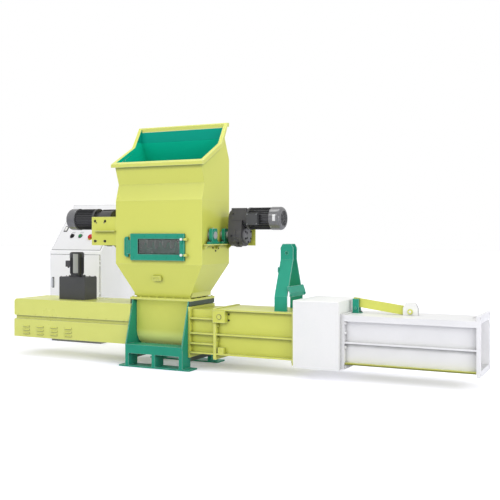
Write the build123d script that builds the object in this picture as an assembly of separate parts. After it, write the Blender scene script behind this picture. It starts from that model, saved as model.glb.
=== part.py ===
from build123d import *
import math
import os

os.makedirs("parts", exist_ok=True)

# The floor is z 0 and the origin lies between the two stands, under the hopper.
# The screw pushes towards +X, and the operator stands on the -Y side.

# General clearances
seat_gap = 0.3
running_gap = 0.05
sheet = 4
plate = 10

# Stand: two green feet with fork pockets, and the gussets that hold the trough
foot_length = 1030
foot_width = 200
foot_thick = 20
stand_depth = 930
pocket_height = 152
post_width = 50
beam_height = 113
beam_length = 836
gusset_thick = 15
gusset_top_depth = 608
saddle_height = 840
anchor_hole = 11
anchor_inset = 40
tie_thick = 30
tie_height = 56
low_tie_bottom = 92

# Screw and its trough
screw_height = 455
trough_half = 225
screw_radius = 203
screw_tube = 60
screw_pitch = 300
screw_reach = 900
flight_thick = 8
screw_shaft = 45

# Hopper
joint_plate = 14
joint_length = 900
joint_depth = 612
throat_length = 776
throat_depth = 474
hopper_length = 1272
hopper_depth = 716
funnel_height = 426
housing_height = 806
crease_depth = 64
crease_height = 210
chute_height = 1005
rim_front = 370
rim_front_share = 0.4806
knee_depth = 66
knee_share = 0.7194
back_depth = 238
back_slope_bottom_share = 0.5373
back_slope_top_share = 0.8
rim_width = 48
rim_stand = 49

# Shredder
rotor_spacing = 330
rotor_height = 1660
rotor_tip = 172
rotor_root = 95
rotor_shaft = 45
disc_thick = 16
disc_pitch = 84
discs = 14
claws = 4
claw_twist = 25
bearing_offset = 28
bearing_width = 46
bearing_half = 66
bearing_rise = 84
bearing_corner = 26
bearing_cap = 58
bearing_base = 236
bearing_bolt_pitch = 196
bearing_bolt = 8
shelf_reach = 120
shelf_thick = 12
shelf_drop = 110

# Drive units of the shredder
gearbox_start = 150
gearbox_length = 186
gearbox_low_radius = 138
gearbox_top_radius = 112
lug_plate_end = 250
motor_rise = 208
motor_radius = 140
motor_rib_radius = 138
motor_length = 297
cowl_length = 149
cowl_radius = 144
adapter_length = 80
torque_plate_length = 384
torque_plate_height = 370
torque_plate_drop = 133
torque_plate_thick = 10
torque_bolt_radius = 12

# Inspection door
door_left = -400
door_right = 397
door_bottom = 1343
door_top = 1680
door_thick = 25
door_gap = 2
window_left = -284
window_right = 332
window_bottom = 1420
window_top = 1615
glass_rebate = 12
glass_thick = 9
hinge_x = -440
barrel_radius = 12
pin_radius = 6
hinge_post_width = 38
latch_x = 365
latch_rise = 98
latch_arm = 48

# Compression chamber and discharge duct
duct_half = 265
duct_bottom = 225
duct_top = 745
rib_out = 60
rib_thick = 18
inlet_length = 374
inlet_ribs = (330, 638)
flange_thick = 21
chamber_length = 994
clamp_length = 598
discharge_length = 1455
flange_bottom = 150
flange_top = 775
end_flange_bottom = 170
end_flange_top = 820
end_flange_thick = 37
boss_width = 100
boss_height = 145
boss_plate = 14
flange_bolt = 9
bolt_rows = (185, 400, 560, 670)

# Cover over the clamping section
cover_half = 390
cover_bottom = 140
cover_top = 914

# Lifting bracket, a pair of cranked plates
bracket_start = 1551
bracket_width = 163
bracket_foot_half = 245
bracket_head_half = 62
bracket_knee = 938
bracket_neck = 1372
bracket_top = 1557
bracket_thick = 15
bracket_hole = 20
bracket_hole_height = 1449
bracket_bevel = 26
bracket_bevel_height = 48
cross_bar_half = 240
cross_bar_reach = 38
cross_bar_top = 1058
cross_bar_height = 125

# Lever on the discharge duct
lever_pivot_x = 3125
lever_pivot_z = 806
lever_length = 680
lever_height = 104
lever_end = 34
lever_taper = 86
lever_thick = 30
lever_angle = 7.4
lever_pin = 15
lug_thick = 20
lug_length = 166
lug_top = 905
saddle_length = 76
saddle_cheek = 24
saddle_top = 928

# Drive enclosure
enclosure_length = 1919
enclosure_front = 355
enclosure_back = 290
enclosure_bottom = 265
lid_edge = 557
shoulder_height = 508
shoulder_inset = 20
louvre_first = -2121
louvre_pitch = 237
louvre_columns = 4
louvre_rows = 3
louvre_length = 112
louvre_slot = 10
louvre_row_pitch = 48
louvre_top = 410
main_box_length = 430
main_box_half = 165
main_box_drop = 170
main_box_rise = 235
main_motor_radius = 140
main_motor_length = 560

# Power pack on the enclosure
tank_left = -1700
tank_length = 436
tank_front = 185
tank_depth = 270
tank_height = 307
pump_motor_radius = 98
pump_rib_radius = 95
pump_motor_height = 335
pump_motor_x = -1500

# Control cabinet, standing on its own plinth behind the enclosure
cabinet_left = -2884
cabinet_width = 978
cabinet_front = 1045
cabinet_depth = 910
cabinet_console_height = 1400
cabinet_top = 2150
console_run = 585
plinth_height = 100
plinth_inset = 20
cabinet_sheet = 3
cabinet_door_bottom = 125
cabinet_door_top = 1350
cabinet_door_margin = 22
knuckle_radius = 8
knuckle_length = 40
knuckle_pin = 4
leaf_width = 15
cabinet_hinges_at = (250, 737.5, 1225)
lock_inset = 57
lock_height = 790
door_sheet = 18
panel_thick = 6
panel_margin = 30
knob_radius = 30
button_radius = 28
stop_radius = 40
knob_place = (295, 295)
button_place = (455, 294)
stop_place = (665, 271)
label_place = (115, 436)
button_travel = 6

# Heights and places that follow from the sizes above
base_front = -stand_depth / 2
post_offset = (beam_length - post_width) / 2
beam_bottom = foot_thick + pocket_height
beam_top = beam_bottom + beam_height
stand_half = beam_length / 2
duct_start = stand_half
joint_top = saddle_height + joint_plate
funnel_base = joint_top + joint_plate
housing_base = funnel_base + funnel_height
housing_top = housing_base + housing_height
rim_front_height = housing_top + chute_height * rim_front_share
knee_height = housing_top + chute_height * knee_share
back_height = housing_top + chute_height
back_slope_bottom = housing_top + chute_height * back_slope_bottom_share
back_slope_top = housing_top + chute_height * back_slope_top_share
half_length = hopper_length / 2
half_depth = hopper_depth / 2
wall = 8
rotor_y = rotor_spacing / 2
shelf_top = rotor_height - shelf_drop
torque_plate_bottom = rotor_height - torque_plate_drop
rib_half = duct_half + rib_out
enclosure_right = -stand_half
enclosure_left = enclosure_right - enclosure_length
enclosure_top = saddle_height - tie_height
latch_heights = ((door_bottom + door_top) / 2 - latch_rise, (door_bottom + door_top) / 2 + latch_rise)
console_rise = cabinet_top - cabinet_console_height
console_slope = math.degrees(math.atan2(console_rise, console_run))


def block(x0, x1, y0, y1, z0, z1):
    """A square-edged block between two opposite corners."""
    return Pos((x0 + x1) / 2, (y0 + y1) / 2, (z0 + z1) / 2) * Box(x1 - x0, y1 - y0, z1 - z0)


def rod_x(x0, x1, y, z, radius):
    """A round bar along X."""
    return Pos((x0 + x1) / 2, y, z) * Rot(0, 90, 0) * Cylinder(radius, x1 - x0)


def rod_y(x, y0, y1, z, radius):
    """A round bar along Y."""
    return Pos(x, (y0 + y1) / 2, z) * Rot(90, 0, 0) * Cylinder(radius, y1 - y0)


def rod_z(x, y, z0, z1, radius):
    """A round bar along Z."""
    return Pos(x, y, (z0 + z1) / 2) * Cylinder(radius, z1 - z0)


def prism_x(points, x0, x1):
    """An outline of (y, z) points carried along X."""
    face = Plane.YZ.offset(x0) * Polygon(*points, align=None)
    return extrude(face, x1 - x0, dir=(1, 0, 0))


def prism_y(points, y0, y1):
    """An outline of (x, z) points carried along Y."""
    face = Plane.XZ.offset(-y0) * Polygon(*points, align=None)
    return extrude(face, y1 - y0, dir=(0, 1, 0))


def hex_x(x0, x1, y, z, radius):
    """A hexagon head or nut with its axis along X."""
    face = Plane.YZ.offset(x0) * Pos(y, z) * RegularPolygon(radius, 6)
    return extrude(face, x1 - x0, dir=(1, 0, 0))


def moved_path(points, distance):
    """An open path moved to its right by a distance, with mitred corners."""
    sides = []
    for (y0, z0), (y1, z1) in zip(points, points[1:]):
        length = math.hypot(y1 - y0, z1 - z0)
        sides.append(((z1 - z0) / length, (y0 - y1) / length))
    moved = []
    for index, (y, z) in enumerate(points):
        before = sides[max(index - 1, 0)]
        after = sides[min(index, len(sides) - 1)]
        scale = distance / (1 + before[0] * after[0] + before[1] * after[1])
        moved.append((y + (before[0] + after[0]) * scale, z + (before[1] + after[1]) * scale))
    return moved


def turned(part):
    """The same piece on the other side of the hopper, turned half round."""
    return Rot(0, 0, 180) * part


def save(part, name):
    """Write one piece to its own file."""
    export_step(part, f"parts/{name}.step")


def trough_section(half):
    """The U of the trough: straight sides down to the screw's axis, and a round bottom."""
    top = saddle_height - screw_height
    sides = Plane.YZ * Pos(0, screw_height + top / 2) * Rectangle(2 * half, top)
    bottom = Plane.YZ * Pos(0, screw_height) * Circle(half)
    return sides + bottom


def trough_solid(half, x0, x1):
    """The U filled from one X to another."""
    return Pos(x0, 0, 0) * extrude(trough_section(half), x1 - x0, dir=(1, 0, 0))


def stand_foot():
    """The front foot: base plate, three posts, a beam over two fork pockets and two gussets."""
    back = base_front + foot_width
    foot = block(-foot_length / 2, foot_length / 2, base_front, back, 0, foot_thick)
    for side in (-1, 0, 1):
        x = side * post_offset
        foot += block(x - post_width / 2, x + post_width / 2, base_front, back, foot_thick, beam_bottom)
    foot += block(-stand_half, stand_half, base_front, back, beam_bottom, beam_top)
    gusset = [(base_front, beam_bottom), (base_front, beam_top), (-gusset_top_depth / 2, saddle_height),
              (-trough_half / 2, saddle_height), (-trough_half / 2, beam_bottom)]
    for x in (-stand_half, stand_half - gusset_thick):
        foot += prism_x(gusset, x, x + gusset_thick)
    foot -= trough_solid(trough_half + seat_gap, -stand_half - plate, stand_half + plate)
    for x in (-foot_length / 2 + anchor_inset, foot_length / 2 - anchor_inset):
        foot -= rod_z(x, base_front + foot_width / 2, -1, foot_thick + 1, anchor_hole)
    return foot


def stand_ties():
    """Four bars along Y: two under the hopper flange, and two low down from foot to foot."""
    ties = []
    for side in (-1, 1):
        left, right = sorted((side * stand_half, side * (stand_half + tie_thick)))
        reach = gusset_top_depth / 2
        ties.append(block(left, right, -reach, reach, saddle_height - tie_height, saddle_height))
        left, right = sorted((side * stand_half, side * (stand_half - tie_thick)))
        reach = stand_depth / 2 - foot_width
        ties.append(block(left, right, -reach, reach, low_tie_bottom, low_tie_bottom + tie_height))
    return Compound(children=ties)


def screw_trough():
    """A U of bent plate with an end plate round the shaft and a flange for the hopper."""
    trough = trough_solid(trough_half, -stand_half, stand_half)
    trough -= trough_solid(trough_half - plate, -stand_half + gusset_thick, stand_half + 1)
    trough += block(-joint_length / 2, joint_length / 2, -joint_depth / 2, joint_depth / 2,
                    saddle_height, joint_top)
    trough -= block(-throat_length / 2, throat_length / 2, -trough_half + plate, trough_half - plate,
                    screw_height + trough_half, joint_top + 1)
    trough -= rod_x(-stand_half - 1, -stand_half + gusset_thick + 1, 0, screw_height, screw_tube + plate)
    return trough


def auger_screw():
    """A tube with a helical flight, a stub shaft for the gearbox and a closed nose."""
    start = -stand_half + gusset_thick + plate
    path = Helix(pitch=screw_pitch, height=screw_reach - 2 * flight_thick, radius=(screw_radius + screw_tube) / 2)
    middle = (screw_radius + screw_tube) / 2
    depth = screw_radius - screw_tube + 2
    section = Plane((middle, 0, 0), x_dir=(1, 0, 0), z_dir=(0, 1, 0)) * Rectangle(depth, flight_thick)
    flight = sweep(section, path, is_frenet=True)
    screw = Pos(start + flight_thick, 0, screw_height) * Rot(0, 90, 0) * flight
    screw += rod_x(start, start + screw_reach, 0, screw_height, screw_tube)
    shaft_end = -stand_half - main_box_length * 0.8
    screw += rod_x(shaft_end, start, 0, screw_height, screw_shaft)
    return screw


def auger_bearing():
    """The flanged bearing that fills the end plate's hole and carries the shaft."""
    bearing = rod_x(-stand_half, -stand_half + gusset_thick + plate / 2, 0, screw_height,
                    screw_tube + plate - seat_gap)
    bearing += rod_x(-stand_half + gusset_thick + seat_gap, -stand_half + gusset_thick + plate / 2, 0,
                     screw_height, screw_tube + 4 * plate)
    bearing -= rod_x(-stand_half - 1, -stand_half + gusset_thick + plate, 0, screw_height,
                     screw_shaft + running_gap)
    return bearing


def main_gearbox():
    """The screw's bevel gearbox, bolted to the stand end and hollow for the shaft."""
    right = -stand_half - sheet - seat_gap
    left = right - main_box_length
    box = block(left, right, -main_box_half, main_box_half, screw_height - main_box_drop,
                screw_height + main_box_rise)
    box = chamfer(box.edges().filter_by(Axis.X), 25)
    for x in (left + main_box_length * 0.25, left + main_box_length * 0.5, left + main_box_length * 0.75):
        box += block(x - 6, x + 6, -main_box_half - 12, main_box_half + 12, screw_height - main_box_drop + 30,
                     screw_height + main_box_rise - 30)
    box += rod_x(left - 40, left, 0, screw_height, main_motor_radius * 0.8)
    box -= rod_x(-stand_half - main_box_length * 0.8 - 2, right + 1, 0, screw_height,
                 screw_shaft + running_gap)
    return box


def main_motor():
    """The screw's foot-free motor in line with the gearbox, with cooling ribs."""
    right = -stand_half - sheet - seat_gap - main_box_length - 40
    left = right - main_motor_length
    motor = rod_x(left, right, 0, screw_height, main_motor_radius - 8)
    for step in range(12):
        rib = block(left + 90, right - 60, main_motor_radius - 20, main_motor_radius, -3, 3)
        motor += Pos(0, 0, screw_height) * Rot(30 * step, 0, 0) * rib
    motor += rod_x(left, left + 80, 0, screw_height, main_motor_radius)
    motor += block(left + 200, left + 330, -70, 70, screw_height, screw_height + main_motor_radius + 70)
    return motor


def chute_paths():
    """The chute's front wall and back wall, each from the bottom up, seen from the right side."""
    front = [(-half_depth, housing_top), (-half_depth + crease_depth, housing_top + crease_height),
             (-rim_front, rim_front_height)]
    back = [(half_depth, housing_top), (half_depth, back_slope_bottom), (back_depth, back_slope_top),
            (back_depth, back_height)]
    return front, back


def chute_inside():
    """The space inside the chute, carried on above its mouth."""
    front, back = chute_paths()
    above = back_height + rim_width
    inner_front = moved_path(front, wall)
    inner_back = moved_path(list(reversed(back)), wall)
    outline = [(inner_front[0][0], housing_top - 1)] + inner_front[1:]
    outline += [(inner_front[-1][0], above), (inner_back[0][0], above)] + inner_back[:-1]
    outline += [(inner_back[-1][0], housing_top - 1)]
    return prism_x(outline, -half_length + wall, half_length - wall)


def rim_lines():
    """The rim's upper line over one side of the mouth, and its lower line."""
    upper = [(-rim_front - rim_stand + wall, rim_front_height - rim_width / 3), (knee_depth, knee_height),
             (back_depth, back_height)]
    return upper, moved_path(upper, rim_width)


def feed_chute():
    """The bent sheet mouth that stands on the crusher housing, low in front and high at the back."""
    front, back = chute_paths()
    upper, lower = rim_lines()
    outline = front[:2] + [(-rim_front, lower[0][1])] + [lower[1]]
    outline += [(back_depth, back_height - rim_width)] + list(reversed(back))[1:]
    chute = prism_x(outline, -half_length, half_length)
    return chute - chute_inside()


def mouth_rim():
    """The square rim welded round the mouth, standing proud of the chute's outside."""
    upper, lower = rim_lines()
    rear = back_depth + rim_stand - wall
    outline = upper + [(rear, back_height), (rear, back_height - rim_width), (back_depth, back_height - rim_width)]
    outline += [lower[1], lower[0], (upper[0][0], lower[0][1])]
    out = half_length + rim_stand - wall
    rim = prism_x(outline, -out, out)
    return rim - chute_inside()


def crusher_housing():
    """Four walls with a door opening and a hole for each end of each rotor shaft."""
    housing = block(-half_length, half_length, -half_depth, half_depth, housing_base, housing_top)
    housing -= block(-half_length + wall, half_length - wall, -half_depth + wall, half_depth - wall,
                     housing_base - 1, housing_top + 1)
    housing -= block(window_left - glass_rebate, window_right + glass_rebate, -half_depth - 1,
                     -half_depth + wall + 1, window_bottom - glass_rebate, window_top + glass_rebate)
    for y in (-rotor_y, rotor_y):
        housing -= rod_x(-half_length - 1, half_length + 1, y, rotor_height, rotor_shaft + plate)
    return housing


def frustum(half_x0, half_y0, z0, half_x1, half_y1, z1):
    """A four-sided taper between two rectangles."""
    low = Pos(0, 0, z0) * Rectangle(2 * half_x0, 2 * half_y0)
    high = Pos(0, 0, z1) * Rectangle(2 * half_x1, 2 * half_y1)
    return loft([low.face(), high.face()])


def lower_funnel():
    """The funnel of bent sheet between the housing and the trough, on its own joint plate."""
    funnel = frustum(throat_length / 2, throat_depth / 2, funnel_base, half_length, half_depth, housing_base)
    funnel += block(-joint_length / 2, joint_length / 2, -joint_depth / 2, joint_depth / 2, joint_top, funnel_base)
    funnel -= frustum(throat_length / 2 - wall, throat_depth / 2 - wall, funnel_base, half_length - wall,
                      half_depth - wall, housing_base)
    funnel -= block(-throat_length / 2 + wall, throat_length / 2 - wall, -throat_depth / 2 + wall,
                    throat_depth / 2 - wall, joint_top - 1, funnel_base)
    return funnel


def level_sensor():
    """The small sensor box on the funnel's sloping front."""
    slope = math.degrees(math.atan2((hopper_depth - throat_depth) / 2, funnel_height))
    front = throat_depth / 2 + (hopper_depth - throat_depth) / 2 * 0.6
    box = Pos(0, -17, 0) * Box(125, 34, 62)
    box = fillet(box.edges().filter_by(Axis.Y), 8)
    box -= Pos(0, -34, 0) * Box(85, 8, 26)
    return Pos(-31, -front, funnel_base + funnel_height * 0.6) * Rot(slope, 0, 0) * box


def claw_disc():
    """One cutter disc: four hooked claws round a hub."""
    points = []
    for claw in range(claws):
        start = 360 / claws * claw
        for radius, angle in ((rotor_root, 0), (rotor_root, 30), (rotor_tip, 52), (rotor_tip, 66),
                              (rotor_root * 1.15, 74)):
            around = math.radians(start + angle)
            points.append((radius * math.cos(around), radius * math.sin(around)))
    face = Plane.YZ * Polygon(*points, align=None)
    return extrude(face, disc_thick, dir=(1, 0, 0))


def rotor(y, shift, far):
    """A shaft with its cutter discs, and a long end towards its own gearbox."""
    near = half_length + bearing_offset + bearing_width + plate
    reach = half_length + gearbox_start + gearbox_length * 0.8
    if far > 0:
        shaft = rod_x(-near, reach, 0, 0, rotor_shaft)
    else:
        shaft = rod_x(-reach, near, 0, 0, rotor_shaft)
    shaft += rod_x(-half_length + wall + plate, half_length - wall - plate, 0, 0, rotor_root * 0.7)
    disc = claw_disc()
    first = -disc_pitch * (discs - 1) / 2 + shift
    for index in range(discs):
        shaft += Pos(first + disc_pitch * index - disc_thick / 2, 0, 0) * Rot(claw_twist * index, 0, 0) * disc
    return Pos(0, y, rotor_height) * shaft


def pillow_block(y):
    """A pillow block bolted to the right shelf: an upright body on a long foot, and a round cover."""
    x0 = half_length + bearing_offset
    x1 = x0 + bearing_width
    body = block(x0, x1, y - bearing_half, y + bearing_half, shelf_top, rotor_height + bearing_rise)
    body = fillet(body.edges().filter_by(Axis.X).group_by(Axis.Z)[-1], bearing_corner)
    body += block(x0, x1, y - bearing_base / 2, y + bearing_base / 2, shelf_top, shelf_top + 28)
    body += rod_x(x1, x1 + 6, y, rotor_height, bearing_cap)
    body -= rod_x(x0 - 1, x1 + 20, y, rotor_height, rotor_shaft + running_gap)
    middle = (x0 + x1) / 2
    for side in (-1, 1):
        foot_y = y + side * bearing_bolt_pitch / 2
        body += rod_z(middle, foot_y, shelf_top, shelf_top + 28 + bearing_bolt, 2 * bearing_bolt)
    return body


def pillow_blocks():
    """All four pillow blocks: a pair on the right shelf and the same pair turned onto the left one."""
    pair = [pillow_block(-rotor_y), pillow_block(rotor_y)]
    return Compound(children=pair + [turned(block_solid) for block_solid in pair])


def bearing_shelf():
    """The right shelf: a flat plate on three triangular gussets against the housing."""
    reach = half_depth - 2 * plate
    shelf = block(half_length, half_length + shelf_reach, -reach, reach, shelf_top - shelf_thick, shelf_top)
    gusset = [(half_length, shelf_top - shelf_thick), (half_length + shelf_reach * 0.6, shelf_top - shelf_thick),
              (half_length, shelf_top - shelf_thick - shelf_reach * 0.5)]
    for y in (-reach + plate, -plate / 2, reach - 2 * plate):
        shelf += prism_y(gusset, y, y + plate)
    return shelf


def gearbox():
    """The right drive's flat gearbox, its round output cover and its mounting lug."""
    x0 = half_length + gearbox_start
    x1 = x0 + gearbox_length
    y = rotor_y
    low = rod_x(x0, x1, y, rotor_height, gearbox_low_radius)
    high = rod_x(x0, x1, y, rotor_height + motor_rise, gearbox_top_radius)
    low_half = gearbox_low_radius - 3
    top_half = gearbox_top_radius - 3
    waist = prism_x([(y - low_half, rotor_height), (y + low_half, rotor_height),
                     (y + top_half, rotor_height + motor_rise), (y - top_half, rotor_height + motor_rise)], x0, x1)
    box = low + waist + high
    box += rod_x(x0 + gearbox_length * 0.42, x0 + gearbox_length * 0.58, y, rotor_height, gearbox_low_radius + 8)
    for step in range(9):
        bolt = rod_x(x0 + gearbox_length * 0.3, x0 + gearbox_length * 0.7, 0, -gearbox_low_radius - 3, 9)
        box += Pos(0, y, rotor_height) * Rot(-80 + 20 * step, 0, 0) * bolt
    box += rod_x(x1, x1 + 36, y, rotor_height, gearbox_low_radius * 0.72)
    for step in range(2):
        box -= block(x1 + 16, x1 + 40, y - 48, y - 14, rotor_height + 10 - 62 * step, rotor_height + 44 - 62 * step)
    lug_front = y - gearbox_top_radius - 6
    lug = block(x0 + 46, x0 + lug_plate_end, lug_front, lug_front + 40, rotor_height + motor_rise - 20,
                rotor_height + motor_rise + 132)
    for z in (rotor_height + motor_rise + 60, rotor_height + motor_rise + 112):
        lug -= rod_y(x0 + 68, lug_front - 1, lug_front + 41, z, 9)
    box += lug
    box += rod_x(x1, x1 + adapter_length - 18, y, rotor_height + motor_rise, motor_radius * 0.66)
    box += rod_x(x1 + adapter_length - 18, x1 + adapter_length, y, rotor_height + motor_rise, motor_radius)
    for x, z in torque_bolts():
        boss = rod_y(x, y, half_depth - torque_plate_thick - 3 - seat_gap, z, torque_bolt_radius * 1.5)
        box += boss & block(x0, x1 + 60, y, half_depth, torque_plate_bottom, rotor_height + motor_rise + 40)
    box -= rod_x(x0 - 1, x0 + gearbox_length * 0.8 + 2, y, rotor_height, rotor_shaft + running_gap)
    return box


def torque_bolts():
    """Centres of the four bolts that tie the gearbox to its bracket, as (x, z)."""
    x0 = half_length + gearbox_start
    return [(x, z) for x in (x0 + 40, x0 + gearbox_length - 26) for z in (rotor_height - 78, rotor_height + 160)]


def torque_bracket():
    """The right bracket: an upright plate on the housing's side, with a ledge folded out of it."""
    outer = half_depth - 3
    inner = outer - torque_plate_thick
    x1 = half_length + torque_plate_length
    top = torque_plate_bottom + torque_plate_height
    bracket = block(half_length, x1, inner, outer, torque_plate_bottom, top)
    middle = torque_plate_bottom + torque_plate_height / 2
    bracket += block(half_length, x1 - 55, outer, outer + 42, middle - 5, middle + 5)
    bracket += block(half_length, half_length + plate, inner - 90, inner, shelf_top, middle - 40)
    for x, z in torque_bolts():
        bracket -= rod_y(x, inner - 1, outer + 1, z, torque_bolt_radius * 0.8)
    return bracket


def drive_motor():
    """The right drive's motor body with cooling ribs along it."""
    x0 = half_length + gearbox_start + gearbox_length + adapter_length
    body = rod_x(x0, x0 + motor_length, 0, 0, motor_radius - 16)
    ribs = 28
    for step in range(ribs):
        rib = block(x0 + 14, x0 + motor_length - 10, motor_radius - 20, motor_rib_radius, -2.5, 2.5)
        body += Rot(360 / ribs * (step + 0.5), 0, 0) * rib
    body += rod_x(x0, x0 + 14, 0, 0, motor_radius)
    return Pos(0, rotor_y, rotor_height + motor_rise) * body


def fan_cowl():
    """The pressed fan cowl on the motor's end, rounded off at the back."""
    x0 = half_length + gearbox_start + gearbox_length + adapter_length + motor_length
    x1 = x0 + cowl_length
    cowl = rod_x(x0, x1, 0, 0, cowl_radius)
    cowl = fillet(cowl.edges().filter_by(GeomType.CIRCLE).sort_by(Axis.X)[-1], 42)
    return Pos(0, rotor_y, rotor_height + motor_rise) * cowl


def terminal_box():
    """The right motor's terminal box, on the side that faces the operator."""
    x0 = half_length + gearbox_start + gearbox_length + adapter_length
    front = rotor_y - motor_radius - 46
    box = block(x0 + 18, x0 + 170, front, rotor_y - motor_radius * 0.93, rotor_height + motor_rise - 82,
                rotor_height + motor_rise + 64)
    box = fillet(box.edges().filter_by(Axis.Y), 10)
    box -= Pos(0, rotor_y, rotor_height + motor_rise) * rod_x(x0, x0 + 180, 0, 0, motor_rib_radius + seat_gap)
    return box


def door_frame():
    """The door: a thick frame with a glazing rebate behind, a bevelled hinge side and its barrel."""
    back = -half_depth - door_gap
    front = back - door_thick
    frame = block(door_left, door_right, front, back, door_bottom, door_top)
    frame = chamfer(frame.edges().filter_by(Axis.Z).group_by(Axis.Y)[0], 6)
    frame -= block(window_left, window_right, front - 1, back + 1, window_bottom, window_top)
    frame -= block(window_left - glass_rebate, window_right + glass_rebate, front + door_thick / 2, back + 1,
                   window_bottom - glass_rebate, window_top + glass_rebate)
    low, high = barrel_ends()
    axis_y = hinge_axis_y()
    frame += rod_z(hinge_x, axis_y, low + seat_gap, high - seat_gap, barrel_radius)
    frame += block(hinge_x, door_left, axis_y - 5, axis_y + 5, low + seat_gap, high - seat_gap)
    frame -= rod_z(hinge_x, axis_y, low - 1, high + 1, pin_radius + running_gap)
    for z in latch_heights:
        frame -= rod_y(latch_x, front - 1, front + door_thick * 0.6, z, pin_radius + running_gap)
    return frame


def hinge_axis_y():
    """Depth of the door's hinge axis."""
    return -half_depth - door_gap - door_thick * 0.64


def barrel_ends():
    """Lower and upper end of the door's own barrel, between the two fixed ones."""
    return door_bottom + 80, door_top - 80


def door_hinge_post():
    """The fixed hinge half: a post on the wall, two barrels and the pin."""
    axis_y = hinge_axis_y()
    low, high = barrel_ends()
    bottom = door_bottom + 40
    top = door_top - 40
    right = hinge_x - barrel_radius - 1
    post = block(right - hinge_post_width, right, axis_y - 6, -half_depth, bottom, top)
    post = chamfer(post.edges().filter_by(Axis.Y).group_by(Axis.X)[0], 24)
    for z0, z1 in ((bottom, low), (high, top)):
        post += rod_z(hinge_x, axis_y, z0, z1, barrel_radius)
        post += block(right - 1, hinge_x, axis_y - 6, axis_y + 6, z0, z1)
    post += rod_z(hinge_x, axis_y, bottom, top, pin_radius)
    return post


def door_window():
    """The clear pane in the door's rebate."""
    shoulder = -half_depth - door_gap - door_thick / 2
    slack = 1
    return block(window_left - glass_rebate + slack, window_right + glass_rebate - slack, shoulder,
                 shoulder + glass_thick, window_bottom - glass_rebate + slack, window_top + glass_rebate - slack)


def door_latch(z):
    """A quarter-turn latch: round knob, hanging arm and the spindle in the door."""
    face = -half_depth - door_gap - door_thick
    arm_front = face - seat_gap - 8
    latch = rod_y(latch_x, arm_front - 20, arm_front, z, 16)
    latch += rod_y(latch_x, arm_front, face - seat_gap, z, 14)
    latch += block(latch_x - 7, latch_x + 7, arm_front, face - seat_gap, z - latch_arm, z)
    latch += rod_y(latch_x, face - seat_gap, face + door_thick * 0.5, z, pin_radius)
    return latch


def door_keepers():
    """Two hooked keepers on the wall beside the door, one for each latch."""
    face = -half_depth - door_gap - door_thick
    keepers = []
    for z in latch_heights:
        base = block(latch_x + latch_arm + 4, latch_x + latch_arm + 26, face - 20, -half_depth, z - 14, z + 14)
        lip = block(door_right + 4, latch_x + latch_arm + 26, face - 20, face - 11, z - 14, z + 14)
        keepers.append(base + lip)
    return Compound(children=keepers)


def duct(x0, x1, rib_heights):
    """A square duct of plate with ribs along it at the given heights, on both sides."""
    shell = block(x0, x1, -duct_half, duct_half, duct_bottom, duct_top)
    for z in rib_heights:
        shell += block(x0, x1, -rib_half, rib_half, z - rib_thick / 2, z + rib_thick / 2)
    return shell - block(x0 - 1, x1 + 1, -duct_half + plate, duct_half - plate, duct_bottom + plate,
                         duct_top - plate)


def duct_flange(x0, x1, bottom, top):
    """A flat flange round the duct, open inside it."""
    flange = block(x0, x1, -rib_half, rib_half, bottom, top)
    return flange - block(x0 - 1, x1 + 1, -duct_half + plate, duct_half - plate, duct_bottom + plate,
                          duct_top - plate)


def bolt_places():
    """Centres of the flange bolts, as (y, z): four on each side and two at the top and bottom."""
    edge = duct_half + rib_out / 2
    places = [(side * edge, z) for side in (-1, 1) for z in bolt_rows]
    return places + [(side * duct_half / 2, (flange_bottom + duct_bottom) / 2) for side in (-1, 1)]


def bolt_holes(x0, x1):
    """Clearance holes for one ring of flange bolts."""
    return [rod_x(x0 - 1, x1 + 1, y, z, flange_bolt + 1) for y, z in bolt_places()]


def rib_heights():
    """The three common rib heights: top, middle and bottom."""
    return [duct_top + rib_thick / 2, screw_height, duct_bottom - rib_thick / 2]


def chamber_inlet():
    """The first duct section, bolted to the stand, with two more ribs than the others."""
    x0 = duct_start
    x1 = x0 + inlet_length
    section = duct(x0, x1, rib_heights()[1:] + list(inlet_ribs))
    section += duct_flange(x0, x0 + flange_thick + 4, flange_bottom, flange_top)
    section += duct_flange(x1 - flange_thick, x1, flange_bottom, flange_top)
    for hole in bolt_holes(x1 - flange_thick, x1):
        section -= hole
    return section


def chamber_section():
    """The long yellow section, with a square boss whose plate laps over the joint with the inlet."""
    x0 = duct_start + inlet_length
    x1 = x0 + 2 * flange_thick + chamber_length
    section = duct(x0, x1, rib_heights())
    section += duct_flange(x0, x0 + flange_thick, flange_bottom, flange_top)
    section += duct_flange(x1 - flange_thick, x1, flange_bottom, flange_top)
    boss = x0 + 2 * flange_thick
    face = -rib_half - boss_plate
    back = -rib_half - seat_gap
    section += block(boss, boss + boss_width, back, -duct_half, duct_top - boss_height, duct_top)
    section += block(x0 - flange_thick, boss + boss_width, face, back, duct_top - boss_height, duct_top)
    section += rod_y(boss + boss_width / 4, face - 8, face, duct_top - boss_height / 2, boss_width / 4)
    section += block(boss, boss + 0.75 * boss_width, -rib_half, -duct_half, duct_bottom,
                     duct_bottom + boss_height / 2)
    for hole in bolt_holes(x0, x0 + flange_thick) + bolt_holes(x1 - flange_thick, x1):
        section -= hole
    return section


def clamp_section():
    """The short duct under the white cover, where the block is held back."""
    x0 = duct_start + inlet_length + 2 * flange_thick + chamber_length
    x1 = x0 + clamp_length
    section = duct(x0, x1, rib_heights())
    section += duct_flange(x0, x0 + flange_thick, flange_bottom, flange_top)
    section += duct_flange(x1 - flange_thick, x1, flange_bottom, flange_top)
    for hole in bolt_holes(x0, x0 + flange_thick) + bolt_holes(x1 - flange_thick, x1):
        section -= hole
    return section


def discharge_start():
    """X where the white discharge duct begins."""
    return duct_start + inlet_length + 2 * flange_thick + chamber_length + clamp_length


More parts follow.
